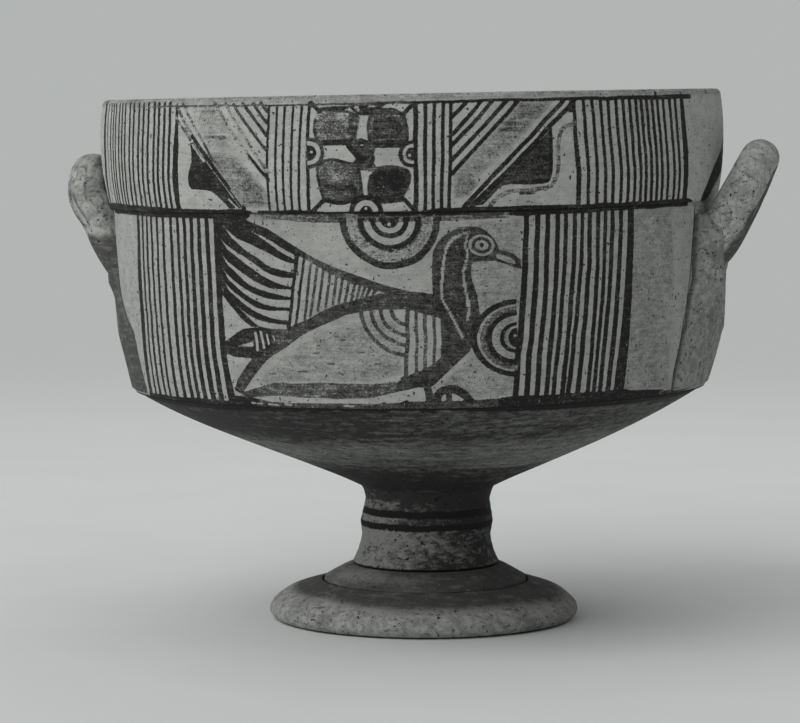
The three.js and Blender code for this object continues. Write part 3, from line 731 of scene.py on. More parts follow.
def paint_quatrefoil(canvas):
    """Middle panel of the band: four dark lobes between frames, with small half rings and white petals."""
    canvas.line([(-19.3, 218.2), (-20.3, 195), (-21.3, 176.6)], 1.4)
    canvas.line([(20.8, 217.4), (20.6, 200), (19.9, 176.6)], 1.9)
    upper_left = [(-16, 214.9), (-9, 215.2), (-4.8, 214.8), (-0.6, 213), (-0.5, 210.5), (-1.7, 206),
                  (-2.4, 203.4), (-16.2, 203.2)]
    upper_right = [(4.4, 213.5), (9, 214.5), (13, 214.1), (16.6, 212.5), (17.3, 210), (17.8, 206.5),
                   (17.4, 202.8), (4, 202.4), (3, 206), (3.1, 210)]
    lower_left = [(-17, 192.3), (-15.5, 195), (-12.5, 196.2), (-9, 196.4), (-5, 195.2), (-1.5, 194.2),
                  (-0.3, 191), (-0.1, 186), (-0.6, 181.4), (-5, 179.9), (-10, 179.2), (-14.5, 180.7),
                  (-15.8, 184), (-16.7, 188)]
    lower_right = [(4.6, 191.8), (6.5, 192.9), (10, 193.5), (14, 193.2), (17.6, 191.3), (18.2, 189),
                   (17.4, 186), (15.6, 182.6), (13, 180.4), (8, 179.9), (2.8, 181), (2.4, 185.7)]
    lobes = [(upper_left, 0.58), (upper_right, 0.68), (lower_left, 0.62), (lower_right, 0.86)]
    for outline, tone in lobes:
        canvas.area(smooth(outline, 3, closed=True), tone)
    canvas.area([(5.4, 211), (13, 211.5), (16, 208), (14, 204), (5, 204.4)], 0.82)
    canvas.area([(-3.8, 213.4), (-1.4, 212.6), (-1.6, 208), (-3.2, 204.4), (-4.4, 207)], 0.8)
    canvas.area([(5, 191), (12, 192.4), (16.4, 190), (15, 184.6), (5, 184)], 0.97)
    canvas.area([(-14, 186.4), (-2, 185.4), (-2.6, 184), (-12, 184.6)], 0.8)
    for outline, tone in lobes:
        canvas.line(smooth(outline, 3, closed=True), 0.8, 0.82, curved=False)
    canvas.area([(-16, 203.3), (-16, 201.6), (-4.6, 201.5), (-0.3, 202), (4, 200.6), (19.4, 200),
                 (19.4, 202.9), (4, 202.9), (0, 204.3), (-2.2, 203.4)], 0.93)
    canvas.area([(-2.2, 203.4), (0.5, 201.1), (3.8, 202.8), (5.8, 200.1), (4.5, 196), (6.1, 193),
                 (4.4, 191.4), (-0.2, 192.2), (-3.6, 194.6), (-1, 196.9), (-4.3, 199.8), (-5.1, 201.6)],
                 0.66)
    canvas.line([(-4.7, 201.2), (-2.6, 199), (-0.2, 196.6), (2.6, 197)], [1.7, 1.9, 1.7, 1], 0.96)
    canvas.line([(3.6, 199), (5, 196.4), (3.4, 193.8)], 1.2, 0.85)
    canvas.area([(-4.9, 217.6), (-2.4, 214.8), (0.5, 213.1), (3.6, 213.1), (7, 215), (11, 217.6)], 0.92)
    canvas.line([(-1.9, 217.1), (-0.5, 215.5)], 0.6, 0.25)
    canvas.line([(3.4, 216.4), (5.6, 216.7)], 0.5, 0.3)
    canvas.line([(-16, 215.6), (-10, 216.2), (-4.4, 216.2)], 1.1, 0.95)
    canvas.line([(6, 215), (12.8, 215), (16.3, 213.2)], 0.9, 0.8)
    canvas.line([(-14.8, 180.6), (-8, 179.6), (-4, 180.6), (2, 181.2), (8, 179.8), (15, 180.4)], 1.5, 0.92)
    for start, finish in [((-18.6, 218.2), (-15.4, 214.9)), ((19.7, 217), (16.2, 212.9)),
                          ((-20, 176.4), (-14.8, 180.6)), ((15.2, 181), (19.4, 176.5))]:
        canvas.line([start, finish], 1.7, 0.95)
    for centre, rings, side in [
        ((1, 176), [(6.6, 4.6, 0.95), (2.4, 0, 1)], lambda s, z: z - 175.6),
        ((-19.6, 199), [(5.9, 4.5, 0.8), (2.9, 0, 0.9)], lambda s, z: s + 20.2),
        ((19.5, 197.8), [(5.3, 3.8, 0.95), (2.6, 0, 0.98)], lambda s, z: 20 - s),
    ]:
        canvas.rings(centre, [(rings[0][0] - 0.5, 0, None), *rings], keep=side)
    for spot in ((0.9, 177.2), (-18.5, 199.3), (18.4, 197.3)):
        canvas.ring(spot, 0.6, 0, None)


# Finishes

class Finish:
    """A material under construction: short names for the nodes that it needs."""

    def __init__(self, name):
        self.material = bpy.data.materials.new(name)
        self.material.use_nodes = True
        self.tree = self.material.node_tree
        self.shader = self.tree.nodes["Principled BSDF"]
        self.place = self.add("ShaderNodeTexCoord").outputs["Object"]

    def add(self, kind, **settings):
        node = self.tree.nodes.new(kind)
        for name, value in settings.items():
            setattr(node, name, value)
        return node

    def put(self, socket, value):
        if hasattr(value, "is_linked"):
            self.tree.links.new(value, socket)
        else:
            socket.default_value = value

    def math(self, operation, a, b=0.0, c=0.0, clamp=False):
        node = self.add("ShaderNodeMath", operation=operation, use_clamp=clamp)
        for socket, value in zip(node.inputs, (a, b, c)):
            self.put(socket, value)
        return node.outputs[0]

    def value(self, name):
        return self.add("ShaderNodeAttribute", attribute_name=name).outputs["Fac"]

    def noise(self, size, detail=3.0, stretch=(1, 1, 1), roughness=0.5, shift=0.0):
        """Noise with features of about this size in millimetres, longer along the axes stretched."""
        mapping = self.add("ShaderNodeMapping")
        self.put(mapping.inputs["Vector"], self.place)
        mapping.inputs["Scale"].default_value = [1 / (size * MM * k) for k in stretch]
        mapping.inputs["Location"].default_value = (shift, shift * 1.7, shift * 0.6)
        node = self.add("ShaderNodeTexNoise")
        self.put(node.inputs["Vector"], mapping.outputs[0])
        node.inputs["Scale"].default_value = 1
        node.inputs["Detail"].default_value = detail
        node.inputs["Roughness"].default_value = roughness
        return node.outputs["Fac"]

    def ramp(self, value, low, high, start=0.0, end=1.0):
        """Take low..high to start..end with soft ends."""
        node = self.add("ShaderNodeMapRange", interpolation_type="SMOOTHSTEP")
        for name, number in (("Value", value), ("From Min", low), ("From Max", high),
                             ("To Min", start), ("To Max", end)):
            self.put(node.inputs[name], number)
        return node.outputs[0]

    def mix(self, factor, a, b):
        node = self.add("ShaderNodeMix", data_type="RGBA")
        self.put(node.inputs[0], factor)
        self.put(node.inputs[6], a)
        self.put(node.inputs[7], b)
        return node.outputs[2]

    def bump(self, height, strength, distance):
        node = self.add("ShaderNodeBump")
        self.put(node.inputs["Height"], height)
        node.inputs["Strength"].default_value = strength
        node.inputs["Distance"].default_value = distance * MM
        return node.outputs[0]

    def specks(self, size, least, softness=0.03, shift=0.0):
        """Small spots: 1 inside them. A higher least means fewer."""
        return self.ramp(self.noise(size, 1, shift=shift), least, least + softness)

    def total(self, start, *shares):
        """Start with a number and add each value times its share."""
        for value, share in shares:
            start = self.math("MULTIPLY_ADD", value, share, start)
        return start

    def stained(self, colour, noise, low, high, most, level):
        """A grey stain over a colour, which grows to its most as the noise goes from low to high."""
        return self.mix(self.ramp(noise, low, high, 0, most), colour, grey(level))

    def done(self, colour, roughness, height, strength, distance):
        """Connect the colour, the roughness and the relief, and give back the material."""
        self.put(self.shader.inputs["Base Color"], colour)
        self.put(self.shader.inputs["Roughness"], roughness)
        self.put(self.shader.inputs["Normal"], self.bump(height, strength, distance))
        return self.material


def grey(level, warmth=0.0):
    """A nearly neutral colour of this linear level, a touch greenish as the print is."""
    return (level * (1 + warmth), level * 1.02, level * (0.97 - warmth), 1)


BLACK = grey(0.016)
THIN_PAINT = grey(0.095)
PALE_SPECK = grey(0.44)


def start_finish(name):
    """A matt material. Its shine is set here as a plain number."""
    finish = Finish(name)
    finish.shader.inputs["Specular IOR Level"].default_value = 0.12
    return finish


def aged_slip(finish, shade):
    """Pale slip, blotchy and stained, with faint wheel streaks, scratches and small specks."""
    blotches = finish.noise(4.5, 5, (1.5, 1.5, 0.9), 0.68)
    streaks = finish.noise(7, 4, (6, 6, 0.2), 0.6, 2)
    stains = finish.noise(26, 5, (1.2, 1.2, 0.8), 0.65, 3)
    grain = finish.noise(0.7, 3, roughness=0.7, shift=7)
    scratches = finish.noise(1.2, 1, (16, 16, 0.3), shift=13)
    colour = finish.mix(finish.ramp(blotches, 0.32, 0.68), grey(0.34 * shade), grey(0.44 * shade))
    colour = finish.stained(colour, streaks, 0.52, 0.76, 0.45, 0.29 * shade)
    colour = finish.stained(colour, stains, 0.52, 0.78, 0.6, 0.22 * shade)
    colour = finish.stained(colour, grain, 0.52, 0.72, 0.5, 0.22 * shade)
    colour = finish.stained(colour, scratches, 0.69, 0.75, 0.6, 0.5)
    colour = finish.mix(finish.specks(0.8, 0.68, 0.06, 5), colour, grey(0.13))
    colour = finish.mix(finish.specks(1.5, 0.69, shift=11), colour, grey(0.05))
    return finish.mix(finish.specks(1.1, 0.74, shift=17), colour, PALE_SPECK), blotches, grain


def plain_inside(finish, colour, noise):
    """Plain clay instead of the colour on the inside of the bowl."""
    plain = finish.mix(finish.ramp(noise, 0.36, 0.64), grey(0.2), grey(0.29))
    return finish.mix(finish.value("inside"), colour, plain)


def painted_slip(name, shade):
    """The painted wall or band. Paint is ragged at its edges, rubbed thin in places and chipped."""
    finish = start_finish(name)
    colour, blotches, grain = aged_slip(finish, shade)
    colour = plain_inside(finish, colour, blotches)
    edge = finish.noise(1.1, 3, shift=23)
    rubbed = finish.noise(2.2, 4, (1.6, 1.6, 0.8), 0.75, 29)
    fine = finish.noise(0.7, 2, shift=37)
    patches = finish.noise(13, 3, shift=31)
    brushed = finish.noise(1, 2, (14, 14, 0.5), 0.6, 43)
    wear = finish.total(-0.9, (rubbed, 1), (fine, 0.8), (patches, 0.5), (brushed, 0.5))
    ragged = finish.total(-0.3, (edge, 0.6))
    for layer, thickness, soft, sharp in (("wash", "veil", 2.2, 1.7), ("ink", "tone", 0.16, 3.4)):
        covered = finish.ramp(finish.math("ADD", finish.value(layer), ragged), -soft, soft)
        tone = finish.value(thickness)
        kept = finish.math("MULTIPLY_ADD", finish.math("SUBTRACT", tone, wear), sharp, 0.6, clamp=True)
        cover = finish.math("MULTIPLY", covered, kept)
        thick = finish.total(finish.math("ADD", tone, 0.5), (wear, -1.1))
        colour = finish.mix(cover, colour, finish.mix(finish.ramp(thick, 0.5, 0.98), THIN_PAINT, BLACK))
    chips = finish.specks(1.1, 0.73, shift=41)
    colour = finish.mix(finish.math("MULTIPLY", chips, 0.6), colour, grey(0.3))
    height = finish.total(finish.math("MULTIPLY", blotches, 1.2), (grain, 0.5), (cover, 0.15))
    return finish.done(colour, finish.ramp(cover, 0, 1, 0.9, 0.7), height, 0.5, 0.25)


def dark_paint(name, stretch, contrast):
    """Brushed dark paint under the bowl and on the stem, streaked and worn to the clay. How much of it is
    kept also carries some painted shade.
    """
    finish = start_finish(name)
    streaks = finish.noise(2.6, 4, stretch, 0.65)
    worn = finish.noise(2.6, 5, (1.8, 1.8, 0.8), 0.75, 5)
    broad = finish.noise(40, 3, (1.6, 1.6, 0.5), 0.5, 9)
    grain = finish.noise(0.9, 2, shift=13)
    wear = finish.total(-0.6, (worn, 1), (streaks, 0.6), (broad, 0.6))
    bare = finish.math("SUBTRACT", wear, finish.value("kept"))
    shows = finish.math("MULTIPLY_ADD", bare, contrast, 0.45, clamp=True)
    colour = finish.mix(shows, grey(0.036), grey(0.25))
    colour = finish.stained(colour, grain, 0.52, 0.74, 0.5, 0.035)
    colour = plain_inside(finish, colour, worn)
    ragged = finish.total(-0.6, (finish.noise(1.6, 3, shift=19), 1.2))
    band = finish.ramp(finish.math("ADD", finish.value("ink"), ragged), -0.3, 0.3)
    colour = finish.mix(finish.math("MULTIPLY", band, finish.ramp(wear, 0.86, 0.74)), colour, BLACK)
    colour = finish.mix(finish.specks(1.5, 0.66, 0.05, 21), colour, grey(0.015))
    colour = finish.mix(finish.specks(1.1, 0.76, shift=27), colour, grey(0.3))
    height = finish.total(finish.math("MULTIPLY", worn, 1.4), (grain, 0.6))
    return finish.done(colour, finish.ramp(shows, 0, 1, 0.72, 0.92), height, 0.6, 0.3)


def bare_clay(name, seed, shade=1.0):
    """Worn clay of the foot and the handles: speckled, stained, with traces of thin dark paint. Its ink also
    carries painted shade under the coils and on the foot.
    """
    finish = start_finish(name)
    mottled = finish.noise(3.2, 5, roughness=0.7, shift=seed)
    stains = finish.noise(15, 4, roughness=0.6, shift=seed + 4)
    grain = finish.noise(0.9, 3, shift=seed + 9)
    brushed = finish.noise(2.2, 4, (3.5, 3.5, 0.8), 0.7, seed + 21)
    blots = finish.noise(2.1, 3, (1.7, 1.7, 0.9), 0.6, seed + 25)
    pits = finish.noise(1.5, 3, (1, 1, 1.5), 0.6, seed + 29)
    colour = finish.mix(finish.ramp(mottled, 0.36, 0.64), grey(0.21 * shade), grey(0.34 * shade))
    colour = finish.stained(colour, stains, 0.5, 0.7, 0.6, 0.13 * shade)
    painted = finish.math("ADD", finish.value("ink"), finish.total(-1.5, (mottled, 3)))
    left = finish.ramp(brushed, 0.72, 0.46, 0.6, 0.95)
    cover = finish.math("MULTIPLY", finish.ramp(painted, -0.9, 0.9), left)
    paint = finish.mix(finish.ramp(finish.value("ink"), 1.9, 2.3), grey(0.07), grey(0.012))
    colour = finish.mix(cover, colour, paint)
    colour = finish.stained(colour, grain, 0.54, 0.7, 0.45, 0.1)
    colour = finish.stained(colour, blots, 0.58, 0.66, 0.6, 0.06)
    pitted = finish.math("MULTIPLY", finish.ramp(pits, 0.58, 0.68), finish.value("pitted"))
    colour = finish.mix(pitted, colour, grey(0.02))
    colour = finish.mix(finish.specks(1.5, 0.69, shift=seed + 13), colour, grey(0.035))
    colour = finish.mix(finish.specks(1.2, 0.76, shift=seed + 17), colour, PALE_SPECK)
    height = finish.total(mottled, (grain, 0.6), (pitted, -1.2))
    return finish.done(colour, finish.ramp(mottled, 0.3, 0.7, 0.85, 0.97), height, 0.7, 0.35)


# Pieces

ROUND = np.linspace(0, 2 * math.pi, 240, endpoint=False)

# The dark band inside the lip: half its width, how far its middle is below the lip, and its thickness
INSIDE_BAND_HALF = 5.5
INSIDE_BAND_DROP = 8.5
INSIDE_BAND_TONE = 0.72

# Painted stretch of the wall and of the band on each side. The band's ends just short of the seam.
WALL_PAINTED = (-168, 174)
BAND_PAINTED = (-197.4, 197.4)

# Direction towards which the foot, the stem and their collars are painted darker, as painted shade, in
# radians to the right of the front
PAINTED_SHADE_SIDE = 0.9


def painted_columns(start, end):
    """Angles round the pot, close together over the painted stretch of the front and of the back."""
    half = spaced((-HALF_ROUND / 2, PLAIN), (start, FINE), (end, PLAIN), (HALF_ROUND / 2, 0))
    return half, np.concatenate([half, half + HALF_ROUND]) / UNROLL_RADIUS


def painted_piece(node, outline, painted, extent, paint, strips, inside_rows, marks, material, seed):
    """A turned piece whose first rows, up the outside, carry the painting, front and back."""
    half, angles = painted_columns(*extent)
    mesh, _, height = turned(node, outline, angles, marks)
    unrolled_map(mesh, angles, outline[:, 1], painted, strips)
    values = {"inside": np.zeros(height.shape)}
    for key in ("ink", "tone", "wash", "veil"):
        values[key] = np.full(height.shape, -REACH if key in ("ink", "wash") else 0.0)
    for side in (0, 1):
        canvas = Canvas(half + DRAWING_SHIFT, outline[:painted, 1], seed + 10 * side)
        paint(canvas)
        columns = slice(side * len(half), (side + 1) * len(half))
        for layer, thickness in (("ink", "tone"), ("wash", "veil")):
            values[layer][columns, :painted], values[thickness][columns, :painted] = canvas.layers[layer]
    values["inside"][:, inside_rows] = 1
    values["ink"][:, inside_rows] = (
        INSIDE_BAND_HALF - np.abs(outline[inside_rows, 1] - (LIP - INSIDE_BAND_DROP))
    )
    values["tone"][:, inside_rows] = INSIDE_BAND_TONE
    add_piece(mesh, node, "slip", material, **values)


def bowl_wall(material):
    """The upright wall, with a groove along the crack at the right handle's pad."""
    levels = np.linspace(TURN, OFFSET, round((OFFSET - TURN) / FINE) + 1)
    outside = np.column_stack([wall_radius(levels), levels])
    down = np.linspace(OFFSET, TURN + 4, 16)
    inside = np.column_stack([wall_radius(down) - WALL_THICKNESS, down])
    outline = np.concatenate([outside, inside, [(TURN_RADIUS - WALL_THICKNESS / 2, TURN)]])
    painted = len(outside)

    def marks(angle, radius, height):
        outer = np.arange(len(outline)) < painted
        s = (angle * UNROLL_RADIUS + HALF_ROUND / 2) % HALF_ROUND - HALF_ROUND / 2
        groove = 0.55 * np.exp(-((s - crack_place(height)) / 0.9) ** 2)
        relief = wheel_marks(angle, height, 3) + groove
        return np.where(outer, relief, -wheel_marks(angle, height, 8, 0.3))

    painted_piece("bowl_wall", outline, painted, WALL_PAINTED, paint_wall, 3,
                  slice(painted, None), marks, material, 50)


def rim_band(material):
    """The band that overhangs the wall, and its rounded lip."""
    levels = np.linspace(OFFSET + 0.9, LIP - 1.6, round((LIP - OFFSET) / FINE))
    lip_out = band_radius(LIP) - 0.25
    top = [(lip_out - 0.1, LIP - 0.8), (lip_out - 0.7, LIP - 0.25), (lip_out - 1.6, LIP - 0.02),
           (lip_out - 3, LIP - 0.05), (lip_out - 4.4, LIP - 0.45), (lip_out - 5.2, LIP - 1.2)]
    down = np.linspace(LIP - 2.4, OFFSET + 2, 60)
    blend = progress(down, OFFSET + 6, 12)
    inner = (wall_radius(OFFSET) - WALL_THICKNESS) * (1 - blend) + (band_radius(down) - RIM_THICKNESS) * blend
    bottom = [(WALL_RADIUS - WALL_THICKNESS, OFFSET), (WALL_RADIUS - 1, OFFSET)]
    edge = band_radius(OFFSET)
    outside = np.concatenate([
        [(edge - 0.5, OFFSET), (edge - 0.12, OFFSET + 0.3)],
        np.column_stack([band_radius(levels), levels]),
    ])
    outline = np.concatenate([outside, top, np.column_stack([inner, down]), bottom])
    painted = len(outside) + 2
    lip_end = len(outside) + len(top)

    def marks(angle, radius, height):
        row = np.arange(len(outline))
        outer, inner = wheel_marks(angle, height, 13), -wheel_marks(angle, height, 18, 0.25)
        relief = np.where(row < painted, outer, inner)
        return np.where((row >= painted) & (row < painted + 4), 0.02, relief)

    painted_piece("rim_band", outline, painted, BAND_PAINTED, paint_band, 4,
                  slice(lip_end - 1, None), marks, material, 80)


def bowl_floor(material):
    """The lower bowl up to the turn, with a shallow socket for the stem."""
    radii = np.linspace(BOSS_RADIUS - 0.4, TURN_RADIUS - 1, 90)
    under = np.column_stack([radii, underside_height(radii)])
    edge = [(TURN_RADIUS - 0.45, TURN - 0.75), (TURN_RADIUS - 0.05, TURN - 0.1),
            (TURN_RADIUS - 1.2, TURN + 0.4)]
    top_edge = [(TURN_RADIUS - WALL_THICKNESS + 0.6, TURN + 4.2),
                (TURN_RADIUS - WALL_THICKNESS - 0.3, TURN + 3.8)]
    radii = np.linspace(TURN_RADIUS - WALL_THICKNESS - 5, BOSS_RADIUS + 12, 24)
    above = np.column_stack([radii, underside_height(radii) + FLOOR_THICKNESS])
    socket = STEM_TOP + 4
    middle = socket + FLOOR_THICKNESS
    centre = smooth([above[-1], (26, middle + 1.6), (12, middle + 0.2), (0, middle)], 5)[1:]
    outline = np.concatenate([[(0, socket), (20, socket), (22, STEM_TOP)], under, edge, top_edge, above,
                              centre])
    outside = 2 + len(under) + len(edge)

    def marks(angle, radius, height):
        row = np.arange(len(outline) - 2)
        relief = wheel_marks(angle, radius * 1.02 + height, 23, 0.22)
        return np.where(row < outside, relief * progress(radius, 30, 8), 0)

    mesh, angle, height = turned("bowl_floor", outline, ROUND, marks, closed=False)
    inside = np.broadcast_to(np.arange(height.shape[1]) >= outside, height.shape).astype(float)
    below_turn = TURN - height
    rubbed = np.clip(1.3 - np.abs((angle + math.pi / 2) % math.pi - math.pi / 2) / 0.45, 0, 1)
    ragged = mottle(angle * 120 / math.pi, below_turn / 1.2, 29, 240)
    ink = np.where(inside > 0, -REACH, 2.6 - below_turn - 2.4 * rubbed * ragged)
    reach = np.broadcast_to(outline[1:-1, 0], height.shape)
    # Paint is kept more from reach 82 out to the turn and towards the stem. The darkening towards the stem is
    # partly painted shade under the bowl.
    kept = 0.48 + 0.25 * progress(reach, 82, 16) + 0.24 * progress(reach, 62, -18)
    kept = kept - 0.2 * progress(np.sin(angle), 0.3, 0.5) * (reach > 57)
    add_piece(mesh, "bowl_floor", "paint", material, inside=np.append(inside, [0, 1]),
              ink=np.append(ink, [-REACH, -REACH]), kept=np.append(kept, [0.5, 0.5]))


def stem(material):
    """The hollow stem, with its tenon above and its spigot below, and two dark lines round it."""
    base = COLLAR_RADIUS - 14.2
    outer = smooth([(base, SEAT + 0.4), (base, COLLAR_TOP - 2.7), (base + 0.2, COLLAR_TOP - 2),
                    (base + 1.7, COLLAR_TOP - 1), (base + 1.3, COLLAR_TOP + 0.4),
                    (base + 0.2, COLLAR_TOP + 2.6), (STEM_RADIUS + 0.1, COLLAR_TOP + 6.4),
                    (STEM_RADIUS - 0.7, 35), (STEM_RADIUS - 0.4, 38), (STEM_RADIUS, 40.6),
                    (STEM_RADIUS - 0.3, 43.2), (STEM_RADIUS - 1, 46.6), (STEM_RADIUS - 1.6, 50.4),
                    (STEM_RADIUS - 1.5, 53), (STEM_RADIUS - 0.3, STEM_TOP - 0.4)], 6)
    hollow_top, hollow_base = 14.5, 21.2
    outline = np.concatenate([
        [(hollow_base, SEAT - 6), (26, SEAT - 6), (26.2, SEAT)], outer,
        [(23, STEM_TOP), (23, STEM_TOP + 3.7), (hollow_top, STEM_TOP + 3.7)],
        np.linspace((hollow_top + 0.2, STEM_TOP), (hollow_base - 0.4, SEAT), 8),
    ])
    first, last = 3, 3 + len(outer)

    def marks(angle, radius, height):
        row = np.arange(len(outline))
        return np.where((row >= first) & (row < last), wheel_marks(angle, height, 33, 0.22, 3.4), 0)

    mesh, angle, height = turned("stem", outline, ROUND, marks)
    row = np.arange(len(outline))
    shown = np.broadcast_to((row >= first) & (row < last), height.shape)
    wobble = 0.5 * mottle(angle * 12 / math.pi, height / 8, 61, 24) - 0.25
    upper = 1.5 - np.abs(height + wobble - 46.3)
    lower = 1.4 - np.abs(height + wobble - 40.8)
    base_groove = COLLAR_TOP - 0.6 - height
    ink = np.where(shown, np.maximum(np.maximum(upper, lower), base_groove), 2)
    kept = 0.34 + 0.14 * progress(height, 38, 4) + 0.08 * progress(height, 50, 4)
    # Painted shade: the stem keeps more paint, and so is darker, towards the front right.
    kept = kept + 0.2 * np.maximum(0, np.cos(angle - PAINTED_SHADE_SIDE))
    add_piece(mesh, "stem", "paint", material,
              ink=ink, kept=np.where(shown, kept, 0.9), inside=np.zeros(height.shape))


def stem_collar(material):
    """Clay worked into the corner between the stem and the underside."""
    inner = STEM_RADIUS - 2.2
    outline = np.concatenate([
        smooth([(inner + 0.35, STEM_TOP - 4.9), (inner + 0.8, STEM_TOP - 3.2), (inner + 1.4, STEM_TOP - 1.3),
                (inner + 2.5, STEM_TOP + 0.5)], 5),
        [(inner - 0.5, STEM_TOP + 0.5), (inner - 0.5, STEM_TOP - 4.8)],
    ])
    mesh, angle, height = turned("stem_collar", outline, ROUND)
    # Painted shade: the collar keeps more paint, and so is darker, towards the front right.
    kept = 0.64 + 0.14 * np.maximum(0, np.cos(angle - PAINTED_SHADE_SIDE))
    add_piece(mesh, "stem_collar", "paint", material,
              ink=np.full(height.shape, -REACH), kept=kept, inside=np.zeros(height.shape))


def foot_disc(material):
    """The disc foot: thick rounded edge, narrow ring to stand on, and hollow underside."""
    edge = FOOT_RADIUS
    ring_outer = edge - 4.2
    ring_inner = ring_outer - 5.5
    seat = COLLAR_RADIUS + 0.1
    outer = smooth([(ring_outer, 0), (ring_outer + 1.7, 0.35), (edge - 1.3, FOOT_EDGE * 0.3 + 0.2),
                    (edge - 0.2, FOOT_EDGE - 1.3), (edge, FOOT_EDGE), (edge - 0.35, FOOT_EDGE + 1.5),
                    (edge - 1.5, 7.2), (edge - 3.8, 9.3), (edge - 6.4, 11.2), (edge - 8.6, 12.3),
                    (edge - 12.6, 13.6), (seat + 5, 14.9), (seat + 1.6, 15.8), (seat + 0.4, 16.3)], 6)
    hollow = smooth([(26.5, SEAT - 5.9), (31, SEAT - 6.6), (43, 6.6), (ring_inner - 4, 2.8),
                     (ring_inner - 1, 0.7), (ring_inner, 0)], 5)
    outline = np.concatenate([outer, [(seat, 16.2), (seat, SEAT), (26.5, SEAT)], hollow])
    shown = len(outer)

    def marks(angle, radius, height):
        row = np.arange(len(outline))
        turn = angle / (2 * math.pi)
        nicks = np.clip(mottle(turn * 110, height / 2.6, 71, 110) - 0.82, 0, 1) * 7
        rough = wheel_marks(angle, radius, 43, 0.24, 5) + nicks * (height > 0.5)
        return np.where((row > 0) & (row < shown - 1), rough, 0)

    mesh, angle, height = turned("foot_disc", outline, ROUND, marks)
    reach = np.broadcast_to(outline[:, 0], height.shape)
    # Painted shade: the dark painted zone of the foot reaches further out towards the front right.
    wobble = 4 * mottle(angle * 9 / math.pi, reach / 10, 73, 18) - 2 + 2 * np.cos(angle - PAINTED_SHADE_SIDE)
    inner_paint_and_shade = np.clip((56.6 - reach + wobble) * 0.3, -1.5, 1.3)
    ink = np.where(np.arange(len(outline)) < shown, inner_paint_and_shade, -REACH)
    # Black under the collar, and painted shade along the bottom millimetre of the foot, where it meets the
    # floor.
    ink = np.where((reach < COLLAR_RADIUS + 1) | (height < 1), REACH, ink)
    add_piece(mesh, "foot_disc", "clay", material, ink=ink)


def foot_collar(material):
    """Clay smoothed over the joint of stem and foot, with a ragged edge."""
    inner = COLLAR_RADIUS - 14.1
    outer = smooth([(COLLAR_RADIUS + 0.05, SEAT + 1.2), (COLLAR_RADIUS - 0.3, SEAT + 2.5),
                    (COLLAR_RADIUS - 1.6, SEAT + 3.3), (COLLAR_RADIUS - 5, 19.8),
                    (COLLAR_RADIUS - 8.6, 21.8), (inner + 3, 22.7), (inner + 1.2, 22.9),
                    (inner + 0.3, 22.3)], 6)
    base = SEAT + 0.31
    outline = np.concatenate([outer, [(inner - 0.5, 21.6), (inner - 0.5, base), (COLLAR_RADIUS, base)]])
    shown = len(outer)

    def marks(angle, radius, height):
        row = np.arange(len(outline))
        ragged = 0.7 * mottle(angle * 30 / math.pi, height * 0, 83, 60) * (row < 8)
        rough = wheel_marks(angle, radius + height, 53, 0.3, 4.4) + ragged
        return np.where(row < shown, rough, 0)

    mesh, angle, height = turned("foot_collar", outline, ROUND, marks)
    # Mottled dark paint, with painted shade that darkens it towards the front right.
    darkening = 1.6 * mottle(angle * 10 / math.pi, height / 4, 87, 20) - 0.6 + 0.9 * np.cos(angle - PAINTED_SHADE_SIDE)
    joints = (np.arange(len(outline)) > shown - 5) | (height < SEAT + 1.8)
    add_piece(mesh, "foot_collar", "clay", material, ink=np.where(joints, REACH, np.minimum(darkening, 1.3)))


# Handles

# The line of an arm, as shares of its run outwards and of its rise, and how wide the arms stand there
ARMS = {
    "right": [(-0.26, -0.2), (0, 0), (0.29, 0.195), (0.54, 0.44), (0.78, 0.72), (0.94, 0.92), (1, 1)],
    "left": [(-0.3, -0.22), (0, 0), (0.37, 0.265), (0.63, 0.53), (0.88, 0.73), (0.99, 0.92), (1, 1)],
}
ARM_WIDTH = [1, 1, 1, 1, 0.96, 0.66, 0.3]

# Front edge of the left pad: height, and how far round the wall it is from the handle's middle
LEFT_PAD_EDGE = [(99, 66), (125, 59), (141, 36), (155, 26)]


def handle_line(side):
    """Middle line of a handle, as seen on +X: up one arm, across the bar and down the other."""
    root_x, root_z = WALL_RADIUS - ROOT_SINK, OFFSET - ROOT_DROP
    run = RIM_RADIUS + BAR_STAND[side] - COIL_RADIUS - root_x
    rise = BAR_RISE[side] + ROOT_DROP
    half = [(root_x + out * run, width * ARM_SPREAD, root_z + up * rise)
            for (out, up), width in zip(ARMS[side], ARM_WIDTH)]
    near = NEAR_ARM_SPREAD[side] / ARM_SPREAD
    mirrored = [(x, -y * near, z) for x, y, z in reversed(half)]
    return even(smooth(half + mirrored, 16), COIL_STEP)


def coil_radius(count):
    """Radius of the coil along its line, thicker towards its two ends."""
    t = np.linspace(0, 1, count)
    swell = np.clip(1.08 - np.minimum(t, 1 - t) / 0.36, 0, 1) ** 1.2
    return COIL_RADIUS + (ROOT_RADIUS - COIL_RADIUS) * swell


def keep_outside(points):
    """Push points that would lie deep in the pot out to just under its surface."""
    radius = np.hypot(points[:, 0], points[:, 1])
    z = points[:, 2]
    limit = np.where(z > OFFSET - 1, band_radius(np.clip(z, OFFSET, LIP)) + 0.3, wall_radius(z) - COIL_SINK)
    factor = np.maximum(1, limit / radius)
    return points * np.column_stack([factor, factor, np.ones(len(z))])


